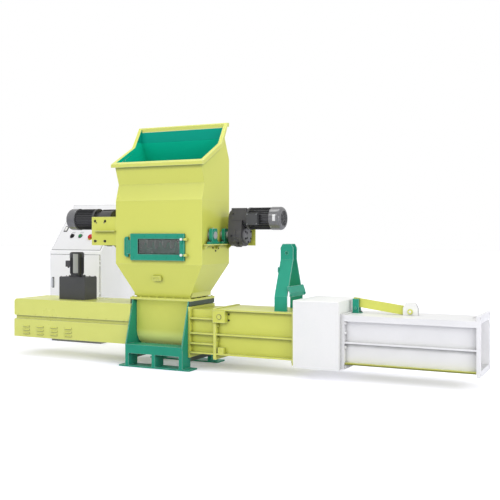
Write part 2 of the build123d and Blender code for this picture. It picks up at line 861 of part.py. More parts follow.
def discharge_section():
    """The long white outlet duct: channel ribs, a tall end flange and a gusset on top of it."""
    x0 = discharge_start()
    x1 = x0 + flange_thick + discharge_length
    section = duct(x0, x1, rib_heights())
    section += block(x0, x1, -rib_half, rib_half, duct_top - 50, duct_top) - block(
        x0 - 1, x1 + 1, -rib_half + plate, rib_half - plate, duct_top - 51, duct_top)
    section += duct_flange(x0, x0 + flange_thick, flange_bottom, flange_top)
    section += duct_flange(x1, x1 + end_flange_thick, end_flange_bottom, end_flange_top)
    gusset = [(x1, duct_top + rib_thick), (x1, end_flange_top), (x1 - 110, duct_top + rib_thick)]
    section += prism_y(gusset, -8, 8)
    for hole in bolt_holes(x0, x0 + flange_thick):
        section -= hole
    for y, z in end_bolt_places():
        section -= rod_x(x1 - 1, x1 + end_flange_thick + 1, y, z, flange_bolt + 2)
    return section


def end_bolt_places():
    """The four corner holes of the end flange, where a bagging or stacking table bolts on."""
    edge = duct_half + rib_out / 2
    return [(y, z) for y in (-edge, edge) for z in (end_flange_bottom + 30, end_flange_top - 30)]


def flange_bolts():
    """Bolts with heads and nuts through the three bolted flange joints."""
    bolts = []
    first = duct_start + inlet_length
    second = first + 2 * flange_thick + chamber_length
    third = second + clamp_length
    for x in (first, second, third):
        for y, z in bolt_places():
            bolt = rod_x(x - flange_thick - 8, x + flange_thick + 8, y, z, flange_bolt)
            bolt += hex_x(x - flange_thick - 12, x - flange_thick, y, z, flange_bolt * 1.8)
            bolt += hex_x(x + flange_thick, x + flange_thick + 14, y, z, flange_bolt * 1.8)
            bolts.append(bolt)
    return Compound(children=bolts)


def clamp_cover():
    """The white box of folded sheet over the clamping section, open underneath."""
    x0 = discharge_start() - clamp_length + flange_thick
    x1 = discharge_start() - flange_thick
    cover = block(x0, x1, -cover_half, cover_half, cover_bottom, cover_top)
    cover = fillet(cover.edges().filter_by(Axis.X).group_by(Axis.Z)[-1], 12)
    cover -= block(x0 + sheet, x1 - sheet, -cover_half + sheet, cover_half - sheet, cover_bottom - 1,
                   cover_top - sheet)
    cover -= block(x0 - 1, x1 + 1, -rib_half - seat_gap, rib_half + seat_gap, cover_bottom - 1,
                   duct_top + rib_thick + seat_gap)
    return cover


def bracket_profile(side):
    """One cranked plate seen from the end, as an outline in Y and Z."""
    outer = [(bracket_foot_half, duct_top + rib_thick), (bracket_foot_half, bracket_knee),
             (bracket_head_half, bracket_neck), (bracket_head_half, bracket_top)]
    inner = moved_path(outer, -bracket_thick)
    inner = [(inner[0][0], outer[0][1])] + inner[1:-1] + [(inner[-1][0], outer[-1][1])]
    return [(side * y, z) for y, z in outer + list(reversed(inner))]


def lifting_bracket():
    """Two cranked plates with bevelled heads and one pin hole through both."""
    x0 = bracket_start
    x1 = x0 + bracket_width
    shoulder = bracket_top - bracket_bevel_height
    face = [(x0, duct_top), (x1, duct_top), (x1, shoulder), (x1 - bracket_bevel, bracket_top),
            (x0 + bracket_bevel, bracket_top), (x0, shoulder)]
    outline = prism_y(face, -bracket_foot_half - 1, bracket_foot_half + 1)
    hole = rod_y((x0 + x1) / 2, -bracket_foot_half, bracket_foot_half, bracket_hole_height, bracket_hole)
    plates = []
    for side in (-1, 1):
        cranked = (prism_x(bracket_profile(side), x0 - 1, x1 + 1) & outline) - hole
        plates += cranked.solids()
    return Compound(children=plates)


def bracket_cross_bar():
    """The bent bar across the bracket's discharge side, which keeps its plates apart."""
    x = bracket_start + bracket_width
    far = x + cross_bar_reach
    top = cross_bar_top
    outer = [(x, top), (x + plate, top), (far, top - cross_bar_height * 0.6), (far, top - cross_bar_height)]
    inner = moved_path(outer, plate)
    outline = outer + [(inner[-1][0], outer[-1][1])] + list(reversed(inner[1:-1])) + [(x, inner[0][1])]
    return prism_y(outline, -cross_bar_half, cross_bar_half)


def lever_place(part):
    """Put a piece drawn level at the pivot into the lever's resting slope."""
    return Pos(lever_pivot_x, 0, lever_pivot_z) * Rot(0, lever_angle, 0) * part


def lever_arm():
    """The flat yellow lever, tapered to a round eye at its pivot pin."""
    half = lever_height / 2
    arm = prism_y([(-lever_length, -half), (-lever_taper, -half), (0, -lever_end + 1), (0, lever_end - 1),
                   (-lever_taper, half), (-lever_length, half)], -lever_thick / 2, lever_thick / 2)
    arm = fillet(arm.edges().filter_by(Axis.Y).group_by(Axis.X)[0], 12)
    arm += rod_y(0, -lever_thick / 2, lever_thick / 2, 0, lever_end)
    arm -= rod_y(0, -lever_thick, lever_thick, 0, lever_pin + running_gap)
    return lever_place(arm)


def lever_lug():
    """Two white lugs on the duct, one each side of the lever, and the pin they hold."""
    x0 = lever_pivot_x - lug_length / 2
    x1 = lever_pivot_x + lug_length / 2
    base = duct_top + rib_thick
    outline = [(x0, base), (x1, base), (x1, lug_top - 60), (x1 - 30, lug_top), (x0 + 30, lug_top), (x0, lug_top - 60)]
    near = lever_thick / 2 + 1
    lugs = prism_y(outline, -near - lug_thick, -near) + prism_y(outline, near, near + lug_thick)
    lugs += rod_y(lever_pivot_x, -near - lug_thick - 14, near + lug_thick + 14, lever_pivot_z, lever_pin)
    lugs += rod_y(lever_pivot_x, -near - lug_thick - 10, -near - lug_thick, lever_pivot_z, 2 * lever_pin)
    return lugs


def lever_saddle():
    """The green saddle on which the lever's free end lies: two cheeks, a foot and a rest pin."""
    x = lever_pivot_x - lever_length + saddle_length / 2 + 5
    base = duct_top + rib_thick
    near = lever_thick / 2 + 2
    cheeks = block(x - saddle_length / 2, x + saddle_length / 2, -near - saddle_cheek, -near, base, saddle_top)
    cheeks += block(x - saddle_length / 2, x + saddle_length / 2, near, near + saddle_cheek, base, saddle_top)
    foot = block(x - saddle_length / 2, x + saddle_length * 0.8, -near - saddle_cheek, near + saddle_cheek,
                 base, base + 10)
    along = lever_pivot_x - x
    axis = lever_pivot_z + along * math.sin(math.radians(lever_angle)) / math.cos(math.radians(lever_angle))
    drop = (lever_height / 2 + lever_pin + seat_gap) / math.cos(math.radians(lever_angle))
    pin = rod_y(x, -near - saddle_cheek - 14, near + saddle_cheek + 14, axis - drop, lever_pin)
    return cheeks + foot + pin


def enclosure_base():
    """The lower tray of the drive enclosure, with a shoulder under the lid and pressed louvres."""
    x0 = enclosure_left
    x1 = enclosure_right
    front = -enclosure_front
    back = enclosure_back
    inset = shoulder_inset
    tray = block(x0, x1, front, back, enclosure_bottom, shoulder_height)
    tray += block(x0 + inset, x1, front + inset, back - inset, shoulder_height, lid_edge)
    tray -= block(x0 + sheet, x1 - sheet, front + sheet, back - sheet, enclosure_bottom + sheet,
                  shoulder_height - sheet)
    tray -= block(x0 + inset + sheet, x1 - sheet, front + inset + sheet, back - inset - sheet,
                  enclosure_bottom + sheet, lid_edge + 1)
    tray -= rod_x(x1 - sheet - 1, x1 + 1, 0, screw_height, screw_tube + plate)
    for column in range(louvre_columns):
        x = louvre_first + louvre_pitch * column
        for row in range(louvre_rows):
            z = louvre_top - louvre_row_pitch * row
            tray -= block(x - louvre_length / 2, x + louvre_length / 2, front - 1, front + sheet + 1,
                          z - louvre_slot / 2, z + louvre_slot / 2)
    return tray


def enclosure_lid():
    """The cover that drops over the tray's shoulder, bevelled at its free end."""
    x0 = enclosure_left
    x1 = enclosure_right
    lid = block(x0, x1, -enclosure_front, enclosure_back, lid_edge, enclosure_top)
    lid = chamfer(lid.edges().filter_by(Axis.Y).group_by(Axis.X)[0].sort_by(Axis.Z)[-1], 28)
    inside = block(x0 + sheet, x1 - sheet, -enclosure_front + sheet, enclosure_back - sheet, lid_edge + sheet,
                   enclosure_top - sheet)
    inside = chamfer(inside.edges().filter_by(Axis.Y).group_by(Axis.X)[0].sort_by(Axis.Z)[-1], 26)
    lid -= inside
    inset = shoulder_inset + sheet
    lid -= block(x0 + inset, x1 - sheet, -enclosure_front + inset, enclosure_back - inset, lid_edge - 1,
                 lid_edge + sheet + 1)
    return lid


def oil_tank():
    """The oil tank on the enclosure, with a lid plate and a filler cap."""
    x1 = tank_left + tank_length
    tank = block(tank_left, x1, -tank_front, -tank_front + tank_depth, enclosure_top, enclosure_top + tank_height - 8)
    tank = fillet(tank.edges().filter_by(Axis.Z), 10)
    tank += block(tank_left + 6, x1 - 6, -tank_front + 6, -tank_front + tank_depth - 6,
                  enclosure_top + tank_height - 8, enclosure_top + tank_height)
    tank += rod_z(x1 - 70, -tank_front + 70, enclosure_top + tank_height, enclosure_top + tank_height + 26, 24)
    return tank


def pump_motor():
    """The upright pump motor, on a bolted flange and with ribs up its sides."""
    z0 = enclosure_top + tank_height
    z1 = z0 + pump_motor_height
    y = -tank_front + tank_depth / 2
    body = rod_z(0, 0, z0 + 14, z1 - 70, pump_motor_radius - 12)
    ribs = 20
    for step in range(ribs):
        rib = block(pump_motor_radius - 16, pump_rib_radius, -2.5, 2.5, z0 + 40, z1 - 75)
        body += Rot(0, 0, 360 / ribs * (step + 0.5)) * rib
    body += rod_z(0, 0, z0, z0 + 14, pump_motor_radius + 12)
    cap = rod_z(0, 0, z1 - 75, z1, pump_motor_radius)
    body += chamfer(cap.edges().filter_by(GeomType.CIRCLE).sort_by(Axis.Z)[-1], 18)
    return Pos(pump_motor_x, y, 0) * body


def pump_terminal_box():
    """The small terminal box on the pump motor's left side."""
    y = -tank_front + tank_depth / 2
    z = enclosure_top + tank_height + pump_motor_height * 0.52
    x0 = pump_motor_x - pump_motor_radius - 62
    box = block(x0, pump_motor_x - pump_motor_radius * 0.8, y - 46, y + 46, z - 42, z + 42)
    return box - rod_z(pump_motor_x, y, z - 50, z + 50, pump_rib_radius + seat_gap)


def cabinet_outline(inset):
    """The cabinet seen from its side, moved in by a sheet thickness, as (y, z) points."""
    front = cabinet_front + inset
    back = cabinet_front + cabinet_depth - inset
    lean = inset * (1 - math.cos(math.radians(console_slope))) / math.sin(math.radians(console_slope))
    return [(front, plinth_height + inset), (front, cabinet_console_height - lean),
            (cabinet_front + console_run + inset * 0.6, cabinet_top - inset), (back, cabinet_top - inset),
            (back, plinth_height + inset)]


def cabinet_body():
    """The cabinet of folded sheet, open for its door in front and for the console panel on top."""
    x0 = cabinet_left
    x1 = x0 + cabinet_width
    body = prism_x(cabinet_outline(0), x0, x1)
    body -= prism_x(cabinet_outline(cabinet_sheet), x0 + cabinet_sheet, x1 - cabinet_sheet)
    margin = cabinet_door_margin + 15
    body -= block(x0 + margin, x1 - margin, cabinet_front - 1, cabinet_front + cabinet_sheet + 1,
                  cabinet_door_bottom + 15, cabinet_door_top - 15)
    length = math.hypot(console_run, console_rise)
    window = Box(cabinet_width - 4 * panel_margin, length - 4 * panel_margin, 4 * cabinet_sheet)
    return body - console_place(cabinet_width / 2, length / 2, window)


def console_place(along_x, along_slope, part):
    """Put a piece drawn on a flat panel onto the console: its Z then points out of the panel."""
    slope = math.radians(console_slope)
    y = cabinet_front + along_slope * math.cos(slope)
    z = cabinet_console_height + along_slope * math.sin(slope)
    return Pos(cabinet_left + along_x, y, z) * Rot(console_slope, 0, 0) * part


def console_panel():
    """The sloping panel with its control holes and a blank label plate."""
    length = math.hypot(console_run, console_rise)
    width = cabinet_width - 2 * panel_margin
    panel = Pos(width / 2, length / 2, panel_thick / 2) * Box(width, length - 2 * panel_margin, panel_thick)
    panel = Pos(panel_margin, 0, 0) * panel
    for x, v in (knob_place, button_place, stop_place):
        panel -= Pos(x, v, 0) * Cylinder(13 + running_gap, 3 * panel_thick)
    x, v = label_place
    panel += Pos(x, v, panel_thick + 1) * Box(60, 100, 2)
    return console_place(0, 0, panel)


def cabinet_plinth():
    """The dark plinth frame under the cabinet."""
    x0 = cabinet_left + plinth_inset
    x1 = cabinet_left + cabinet_width - plinth_inset
    y0 = cabinet_front + plinth_inset
    y1 = cabinet_front + cabinet_depth - plinth_inset
    ring = block(x0, x1, y0, y1, 0, plinth_height)
    return ring - block(x0 + 40, x1 - 40, y0 + 40, y1 - 40, -1, plinth_height + 1)


def cabinet_door():
    """The cabinet's folded door, closed on the front, with a round hole for its lock."""
    x0 = cabinet_left + cabinet_door_margin
    x1 = cabinet_left + cabinet_width - cabinet_door_margin
    y1 = cabinet_front - seat_gap
    door = block(x0, x1, y1 - door_sheet, y1, cabinet_door_bottom, cabinet_door_top)
    door = fillet(door.edges().filter_by(Axis.Z).group_by(Axis.Y)[0], 4)
    door -= rod_y(lock_x(), y1 - door_sheet - 1, y1 + 1, lock_z(), 11 + running_gap)
    x, y = cabinet_axis()
    half = knuckle_length / 2
    for z in cabinet_hinges_at:
        for z0, z1 in fixed_knuckles(z):
            door -= rod_z(x, y, z0 - seat_gap, z1 + seat_gap, knuckle_radius + seat_gap)
        door += rod_z(x, y, z - half, z + half, knuckle_radius)
        door -= rod_z(x, y, z - half - 1, z + half + 1, knuckle_pin + running_gap)
    return door


def cabinet_axis():
    """The door's hinge axis, on its front right edge, as (x, y)."""
    return cabinet_left + cabinet_width - cabinet_door_margin, cabinet_front - seat_gap - door_sheet


def fixed_knuckles(z):
    """Lower and upper end of the two fixed knuckles of the hinge at one height."""
    near = knuckle_length / 2 + seat_gap
    far = near + knuckle_length * 0.6
    return ((z - far, z - near), (z + near, z + far))


def cabinet_hinges():
    """The fixed half of the three hinges: two knuckles on a leaf each, and the pin between them."""
    x, y = cabinet_axis()
    hinges = []
    for z in cabinet_hinges_at:
        low, high = fixed_knuckles(z)
        hinge = rod_z(x, y, low[0], high[1], knuckle_pin)
        for z0, z1 in (low, high):
            hinge += rod_z(x, y, z0, z1, knuckle_radius)
            hinge += block(x + 1, x + 1 + leaf_width, y, cabinet_front, z0, z1)
        hinges.append(hinge)
    return Compound(children=hinges)


def lock_x():
    """X of the lock, near the door's left edge."""
    return cabinet_left + cabinet_door_margin + lock_inset


def lock_z():
    """Height of the lock's spindle."""
    return cabinet_door_bottom + lock_height


def cabinet_lock():
    """The lock's upright handle on its spindle."""
    y1 = cabinet_front - seat_gap - door_sheet
    lock = rod_y(lock_x(), y1 - 12, y1 + door_sheet, lock_z(), 11)
    lock += block(lock_x() - 14, lock_x() + 14, y1 - 26, y1 - 10, lock_z() - 72, lock_z() + 72)
    return fillet(lock.edges().filter_by(Axis.Y).filter_by(GeomType.LINE), 8)


def push_button():
    """The green push button and its stem."""
    x, v = button_place
    top = panel_thick + button_travel + 3
    button = Pos(0, 0, top + 5) * Cylinder(button_radius, 10)
    button += Pos(0, 0, top / 2 - 5) * Cylinder(13, top + 10)
    return console_place(x, v, button)


def emergency_stop():
    """The red mushroom head on its stem."""
    x, v = stop_place
    low = panel_thick + button_travel + 3
    edge = stop_radius
    profile = Plane.XZ * Polygon((0, low), (edge * 0.7, low), (edge, low + 11), (edge, low + 19),
                                 (edge * 0.66, low + 28), (0, low + 31), align=None)
    head = revolve(profile, Axis.Z)
    head += Pos(0, 0, low / 2 - 5) * Cylinder(13, low + 10)
    return console_place(x, v, head)


def selector_knob():
    """The black selector knob with a raised grip."""
    x, v = knob_place
    low = panel_thick + seat_gap
    knob = Pos(0, 0, low + 7) * Cylinder(knob_radius, 14)
    knob += Pos(0, 0, low + 20) * Box(knob_radius / 2, knob_radius * 1.8, 22)
    knob += Pos(0, 0, low / 2 - 5) * Cylinder(13, low + 10)
    return console_place(x, v, knob)


front_foot = stand_foot()
save(front_foot, "stand_front")
save(turned(front_foot), "stand_rear")
save(stand_ties(), "stand_ties")
save(screw_trough(), "screw_trough")
save(auger_screw(), "auger_screw")
save(auger_bearing(), "auger_bearing")
save(main_gearbox(), "main_gearbox")
save(main_motor(), "main_motor")
save(feed_chute(), "feed_chute")
save(mouth_rim(), "mouth_rim")
save(crusher_housing(), "crusher_housing")
save(lower_funnel(), "lower_funnel")
save(level_sensor(), "level_sensor")
save(rotor(-rotor_y, -disc_pitch / 4, -1), "rotor_front")
save(rotor(rotor_y, disc_pitch / 4, 1), "rotor_rear")

save(pillow_blocks(), "pillow_blocks")

drive_pieces = (("bearing_shelf", bearing_shelf), ("gearbox", gearbox), ("torque_bracket", torque_bracket),
                ("drive_motor", drive_motor), ("fan_cowl", fan_cowl), ("terminal_box", terminal_box))
for name, make in drive_pieces:
    piece = make()
    save(piece, f"{name}_right")
    save(turned(piece), f"{name}_left")

save(door_frame(), "door_frame")
save(door_hinge_post(), "door_hinge_post")
save(door_window(), "door_window")
save(door_keepers(), "door_keepers")
for name, z in zip(("lower", "upper"), latch_heights):
    save(door_latch(z), f"door_latch_{name}")

save(chamber_inlet(), "chamber_inlet")
save(chamber_section(), "chamber_section")
save(clamp_section(), "clamp_section")
save(discharge_section(), "discharge_section")
save(flange_bolts(), "flange_bolts")
save(clamp_cover(), "clamp_cover")
save(lifting_bracket(), "lifting_bracket")
save(bracket_cross_bar(), "bracket_cross_bar")
save(lever_arm(), "lever_arm")
save(lever_lug(), "lever_lug")
save(lever_saddle(), "lever_saddle")

save(enclosure_base(), "enclosure_base")
save(enclosure_lid(), "enclosure_lid")
save(oil_tank(), "oil_tank")
save(pump_motor(), "pump_motor")
save(pump_terminal_box(), "pump_terminal_box")

save(cabinet_body(), "cabinet_body")
save(console_panel(), "console_panel")
save(cabinet_plinth(), "cabinet_plinth")
save(cabinet_door(), "cabinet_door")
save(cabinet_hinges(), "cabinet_hinges")
save(cabinet_lock(), "cabinet_lock")
save(push_button(), "push_button")
save(emergency_stop(), "emergency_stop")
save(selector_knob(), "selector_knob")
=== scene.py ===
# %% [markdown]
# # Polystyrene compactor
# A screw compactor for foam scrap: foam goes into the high hopper, two clawed rotors tear
# it, and a screw presses it through a long square duct. The machine's solids come ready
# made as a fixed frame, in metres. This notebook gives them paint, metal and glass, and
# adds the small things a fitter would bolt on: screws, gaskets, welds, plates.

# %% Load the frame
import math
import bpy
import bmesh
from mathutils import Matrix, Vector


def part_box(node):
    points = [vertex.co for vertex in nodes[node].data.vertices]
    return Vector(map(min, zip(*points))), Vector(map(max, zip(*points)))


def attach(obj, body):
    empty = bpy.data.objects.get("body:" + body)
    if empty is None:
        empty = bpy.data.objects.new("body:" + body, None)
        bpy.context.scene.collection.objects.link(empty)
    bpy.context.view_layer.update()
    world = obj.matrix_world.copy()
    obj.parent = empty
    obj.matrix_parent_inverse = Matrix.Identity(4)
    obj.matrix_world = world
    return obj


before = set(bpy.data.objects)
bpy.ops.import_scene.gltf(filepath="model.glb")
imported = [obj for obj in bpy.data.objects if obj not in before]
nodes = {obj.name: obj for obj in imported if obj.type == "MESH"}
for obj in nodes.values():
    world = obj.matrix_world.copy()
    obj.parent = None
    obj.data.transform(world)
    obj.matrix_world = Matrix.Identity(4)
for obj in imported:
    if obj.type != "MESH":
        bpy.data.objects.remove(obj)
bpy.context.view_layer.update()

# %% [markdown]
# ## The camera
# The picture was taken by someone standing in front of the machine, to the right of its
# middle, with their eye 1.7 m above the floor. The camera is kept level so that upright
# edges stay upright, and a small shift moves the picture down instead of a tilt.

# %% Camera
EYE = Vector((5.436, -8.905, 1.70))
LOOK = Vector((-0.4368, 0.8996, 0.0))
PICTURE_WIDTH = 500
FOCAL_PIXELS = 802
HORIZON_ROW = 232
SENSOR_MM = 36
FARTHEST = 200

camera_data = bpy.data.cameras.new("camera")
camera_data.sensor_width = SENSOR_MM
camera_data.lens = SENSOR_MM * FOCAL_PIXELS / PICTURE_WIDTH
camera_data.shift_y = (HORIZON_ROW - PICTURE_WIDTH / 2) / PICTURE_WIDTH
camera_data.clip_end = FARTHEST
camera = bpy.data.objects.new("camera", camera_data)
camera.location = EYE
camera.rotation_euler = LOOK.to_track_quat("-Z", "Y").to_euler()
bpy.context.scene.collection.objects.link(camera)
bpy.context.scene.camera = camera
print("lens", round(camera_data.lens, 2), "mm")

# %% [markdown]
# ## Nodes and colours
# Every finish below is a small tree of shader nodes. One function adds a node, sets its
# properties and fills or links its sockets, given by name or in their own order: a Map Range
# node takes a value, the two ends it comes from and the two it goes to. Colours are written
# as they look on a screen, in hex, and turned to the linear values the renderer works with.

# %% Node and colour helpers
# A Mix node keeps its sockets for numbers and for colours apart: first, second, result.
MIX_NUMBERS = (2, 3, 0, "FLOAT")
MIX_COLOURS = (6, 7, 2, "RGBA")


def fill(tree, node, inputs):
    """Fill a node's inputs; a socket given as a value is linked, anything else is set."""
    for name, value in inputs.items() if isinstance(inputs, dict) else enumerate(inputs):
        if isinstance(value, bpy.types.NodeSocket):
            tree.links.new(value, node.inputs[name])
        else:
            node.inputs[name].default_value = value


def add(tree, kind, inputs=(), **properties):
    """Add a shader node of a kind, set its properties and fill its inputs."""
    node = tree.nodes.new("ShaderNode" + kind)
    for name, value in properties.items():
        setattr(node, name, value)
    fill(tree, node, inputs)
    return node


def new_material(name):
    """A new material, with its node tree and its shader."""
    material = bpy.data.materials.new(name)
    material.use_nodes = True
    tree = material.node_tree
    return material, tree, tree.nodes["Principled BSDF"]


def linear(hex_colour):
    """A screen colour such as #DDE06F as linear red, green, blue and alpha."""
    parts = [int(hex_colour[i:i + 2], 16) / 255 for i in (1, 3, 5)]
    bent = [p / 12.92 if p <= 0.04045 else ((p + 0.055) / 1.055) ** 2.4 for p in parts]
    return (*bent, 1.0)


def millimetres(mm):
    """The noise scale whose features are this many millimetres across."""
    return 1000.0 / mm


# %% [markdown]
# ## Light and floor
# A product picture like this is taken in a white studio, where light comes from all round.
# A key lamp stands in front, high up and to the left, and four more light the machine from
# the right, from low in front, from above and from past the outlet's end. The white behind
# the machine is given only to what the camera and the glass see, so it adds no light to
# the paint. The floor is lifted towards white for the camera alone, a little near the
# machine and more further out, so that it fades into the background and keeps the shadow.
# Past the outlet and along the drive end it is lifted further still, which pales the
# machine's cast shadow there: painted light.

# %% World and lamps
WHITE = linear("#FFFFFF")
WORLD_LIGHT = 0.82
LAMP_HEIGHT = 0.6  # a lamp's height over its width
# Each lamp's name, place, aim, width in metres and watts.
LAMPS = (
    ("key_lamp", (-3.5, -7.5, 7.5), (0.3, 0, 1.2), 5.0, 92),
    ("fill_lamp", (9.5, -5.0, 3.4), (1.0, 0, 0.8), 4.0, 140),
    ("low_lamp", (-1.5, -9.0, 0.9), (0, 0, 0.9), 5.0, 40),
    ("top_lamp", (0.5, -0.5, 9.0), (0.5, 0.2, 0), 6.0, 225),
    ("end_lamp", (9.0, -2.6, 0.9), (3.8, 0.1, 0.5), 2.5, 45),
)

scene = bpy.context.scene
scene.view_settings.view_transform = "Standard"

world = bpy.data.worlds.new("studio")
scene.world = world
world.use_nodes = True
tree = world.node_tree
tree.nodes.clear()
path = add(tree, "LightPath").outputs
seen = add(tree, "Math", (path["Is Camera Ray"], path["Is Transmission Ray"]), operation="MAXIMUM")
glow = add(tree, "Background", {"Color": WHITE, "Strength": WORLD_LIGHT})
white = add(tree, "Background", {"Color": WHITE, "Strength": 1.0})
either = add(tree, "MixShader", (seen.outputs[0], glow.outputs[0], white.outputs[0]))
add(tree, "OutputWorld", {"Surface": either.outputs[0]})

for name, place, aim, width, watts in LAMPS:
    data = bpy.data.lights.new(name, "AREA")
    data.shape = "RECTANGLE"
    data.size = width
    data.size_y = width * LAMP_HEIGHT
    data.energy = watts
    lamp = bpy.data.objects.new(name, data)
    lamp.location = place
    lamp.rotation_euler = (Vector(aim) - Vector(place)).to_track_quat("-Z", "Y").to_euler()
    scene.collection.objects.link(lamp)
print("lamps:", len(LAMPS))

# %% Floor
FLOOR_REACH = 60.0
FLOOR_COLOUR = "#EEEEF8"
FLOOR_LIFT = 0.16
FAR_LIFT = 0.5
# Painted light: past the outlet and along the drive end the floor is lifted further, which pales
# the cast shadow there.
OUTLET_LIFT = 0.45
DRIVE_LIFT = 0.25

floor_mesh = bpy.data.meshes.new("floor")
corners = [(x * FLOOR_REACH, y * FLOOR_REACH, 0) for x, y in ((-1, -1), (1, -1), (1, 1), (-1, 1))]
floor_mesh.from_pydata(corners, [], [(0, 1, 2, 3)])
floor = bpy.data.objects.new("floor", floor_mesh)
scene.collection.objects.link(floor)

floor_paint, tree, _ = new_material("studio_floor")
tree.nodes.clear()
path = add(tree, "LightPath").outputs
card = add(tree, "BsdfDiffuse", {"Color": linear(FLOOR_COLOUR), "Roughness": 0.9})
ground = add(tree, "NewGeometry").outputs["Position"]
distance = add(tree, "VectorMath", (ground,), operation="LENGTH").outputs["Value"]
x = add(tree, "SeparateXYZ", (ground,)).outputs["X"]
most = FLOOR_LIFT
for measure, start, end, level in ((distance, 3.5, 9.0, FAR_LIFT), (x, 0.4, 2.3, OUTLET_LIFT),
                                   (x, -0.5, -1.6, DRIVE_LIFT)):
    rise = add(tree, "MapRange", (measure, start, end, FLOOR_LIFT, level),
               interpolation_type="SMOOTHSTEP").outputs[0]
    most = add(tree, "Math", (most, rise), operation="MAXIMUM").outputs[0]
lift = add(tree, "Math", (path["Is Camera Ray"], most), operation="MULTIPLY")
shine = add(tree, "Emission", {"Color": WHITE, "Strength": lift.outputs[0]})
both = add(tree, "AddShader", (card.outputs[0], shine.outputs[0]))
add(tree, "OutputMaterial", {"Surface": both.outputs[0]})
floor_mesh.materials.append(floor_paint)
print("floor ready")

# %% [markdown]
# ## Paint
# Sheet steel on such a machine is powder coated: a thick, slightly wavy skin with a soft
# gloss. The waves are 2 to 3 mm apart on the real coat, too fine for this distance, so
# they are drawn at 9 mm. A broad, faint cloud keeps a large panel from looking like flat
# colour. Powder coat is a plastic film, so its IOR is about 1.5. Plate edges get a painted
# highlight, a paler colour where light would catch them, and the corners under ribs and
# flanges get painted shade, a darker colour where shade falls. The Bevel node tells where an
# edge is, and the ambient occlusion node where a corner is: its direction is tipped upwards,
# so that the painted shade falls under what stands above.

# %% Powder coat
COAT_IOR = 1.5
ORANGE_PEEL_MM = 9
PEEL_DEPTH = 0.001
CLOUD_MM = 420
EDGE_REACH = 0.007
CORNER_REACH = 0.055
# The share towards white of the painted highlight on edges, and towards black of the painted shade
# in corners.
EDGE_HIGHLIGHT_PALENESS = 0.45
CORNER_SHADE_DARKNESS = 0.58
UPWARD = (0.0, 0.0, 0.9)
# The two values between which each effect sets in: of the noise, of the openness that
# ambient occlusion gives, and of the cosine by which the Bevel node turns an edge.
CLOUD_SPAN, MATT_SPAN = (0.35, 0.7), (0.3, 0.7)
CORNER_SHADE_SPAN, OPEN_AIR = (0.80, 0.25), (0.6, 0.8)
TURNED = (0.985, 0.85)


def blended(hex_colour, other, share):
    """A screen colour carried some of the way towards another, as linear values."""
    return tuple(a + (b - a) * share for a, b in zip(linear(hex_colour), linear(other)))


def powder_coat(name, colour, deep, roughness=0.32, waves=0.08, gloss=0.25, edges=0.0, corners=0.0):
    """A powder coat that drifts between its colour and a slightly deeper one, with a painted
    highlight on its edges and painted shade in its corners.
    """
    material, tree, shader = new_material(name)
    place = add(tree, "TexCoord").outputs["Object"]
    cloud = add(tree, "TexNoise", {"Vector": place, "Scale": millimetres(CLOUD_MM),
                                   "Detail": 3.0, "Roughness": 0.55}).outputs["Fac"]
    tone_and_painted_light = [(add(tree, "MapRange", (cloud, *CLOUD_SPAN, 0.0, 1.0)), linear(deep))]
    # Painted light: a paler colour on edges as painted highlight, a darker one in corners as
    # painted shade.
    if edges or corners:
        flat = add(tree, "NewGeometry").outputs["True Normal"]
        tipped = add(tree, "VectorMath", (flat, UPWARD), operation="ADD")
        skyward = add(tree, "VectorMath", (tipped.outputs[0],), operation="NORMALIZE")
        shelter = add(tree, "AmbientOcclusion", samples=4, inputs={
            "Distance": CORNER_REACH, "Normal": skyward.outputs[0]}).outputs["AO"]
        painted_corner_shade = add(tree, "MapRange", (shelter, *CORNER_SHADE_SPAN, 0.0, corners))
        rounded = add(tree, "Bevel", {"Radius": EDGE_REACH}, samples=3)
        turn = add(tree, "VectorMath", (rounded.outputs[0], flat), operation="DOT_PRODUCT")
        bent = add(tree, "MapRange", (turn.outputs["Value"], *TURNED, 0.0, edges))
        open_air = add(tree, "MapRange", (shelter, *OPEN_AIR, 0.0, 1.0))
        painted_edge_highlight = add(tree, "Math", (bent.outputs[0], open_air.outputs[0]), operation="MULTIPLY")
        tone_and_painted_light += [(painted_corner_shade, blended(deep, "#000000", CORNER_SHADE_DARKNESS)),
                  (painted_edge_highlight, blended(colour, "#FFFFFF", EDGE_HIGHLIGHT_PALENESS))]
    skin = linear(colour)
    first, second, result, kind = MIX_COLOURS
    for share, film in tone_and_painted_light:
        skin = add(tree, "Mix", {0: share.outputs[0], first: skin, second: film},
                   data_type=kind).outputs[result]
    peel = add(tree, "TexNoise", {"Vector": place, "Detail": 1.0,
                                  "Scale": millimetres(ORANGE_PEEL_MM)})
    bump = add(tree, "Bump", {"Height": peel.outputs["Fac"], "Strength": waves,
                              "Distance": PEEL_DEPTH})
    matt = add(tree, "MapRange", (cloud, *MATT_SPAN, roughness - 0.04, roughness + 0.05))
    fill(tree, shader, {"Base Color": skin, "Normal": bump.outputs["Normal"],
                        "Roughness": matt.outputs[0], "IOR": COAT_IOR,
                        "Specular IOR Level": gloss})
    return material


# %% Paints of the machine
# Full painted highlight on edges and full painted shade in corners.
SHEET = {"edges": 1.0, "corners": 1.0}
SATIN = {"roughness": 0.36, **SHEET}
CASTING = {"roughness": 0.42, "waves": 0.3, "gloss": 0.4}
YELLOW, DEEP_YELLOW = "#D6DA69", "#D1D564"
WHITES = ("#F1F1EF", "#EDEEEC")
CASTING_GREYS = ("#4C4B4D", "#454446")

yellow_coat = powder_coat("yellow_green_powder_coat", "#D6DA62", "#D1D55D", gloss=0.45, **SHEET)
lid_coat = powder_coat("yellow_green_lid_coat", "#DCE075", "#D8DC70", roughness=0.3, gloss=0.6,
                       **SHEET)
white_coat = powder_coat("white_powder_coat", *WHITES, **SATIN)
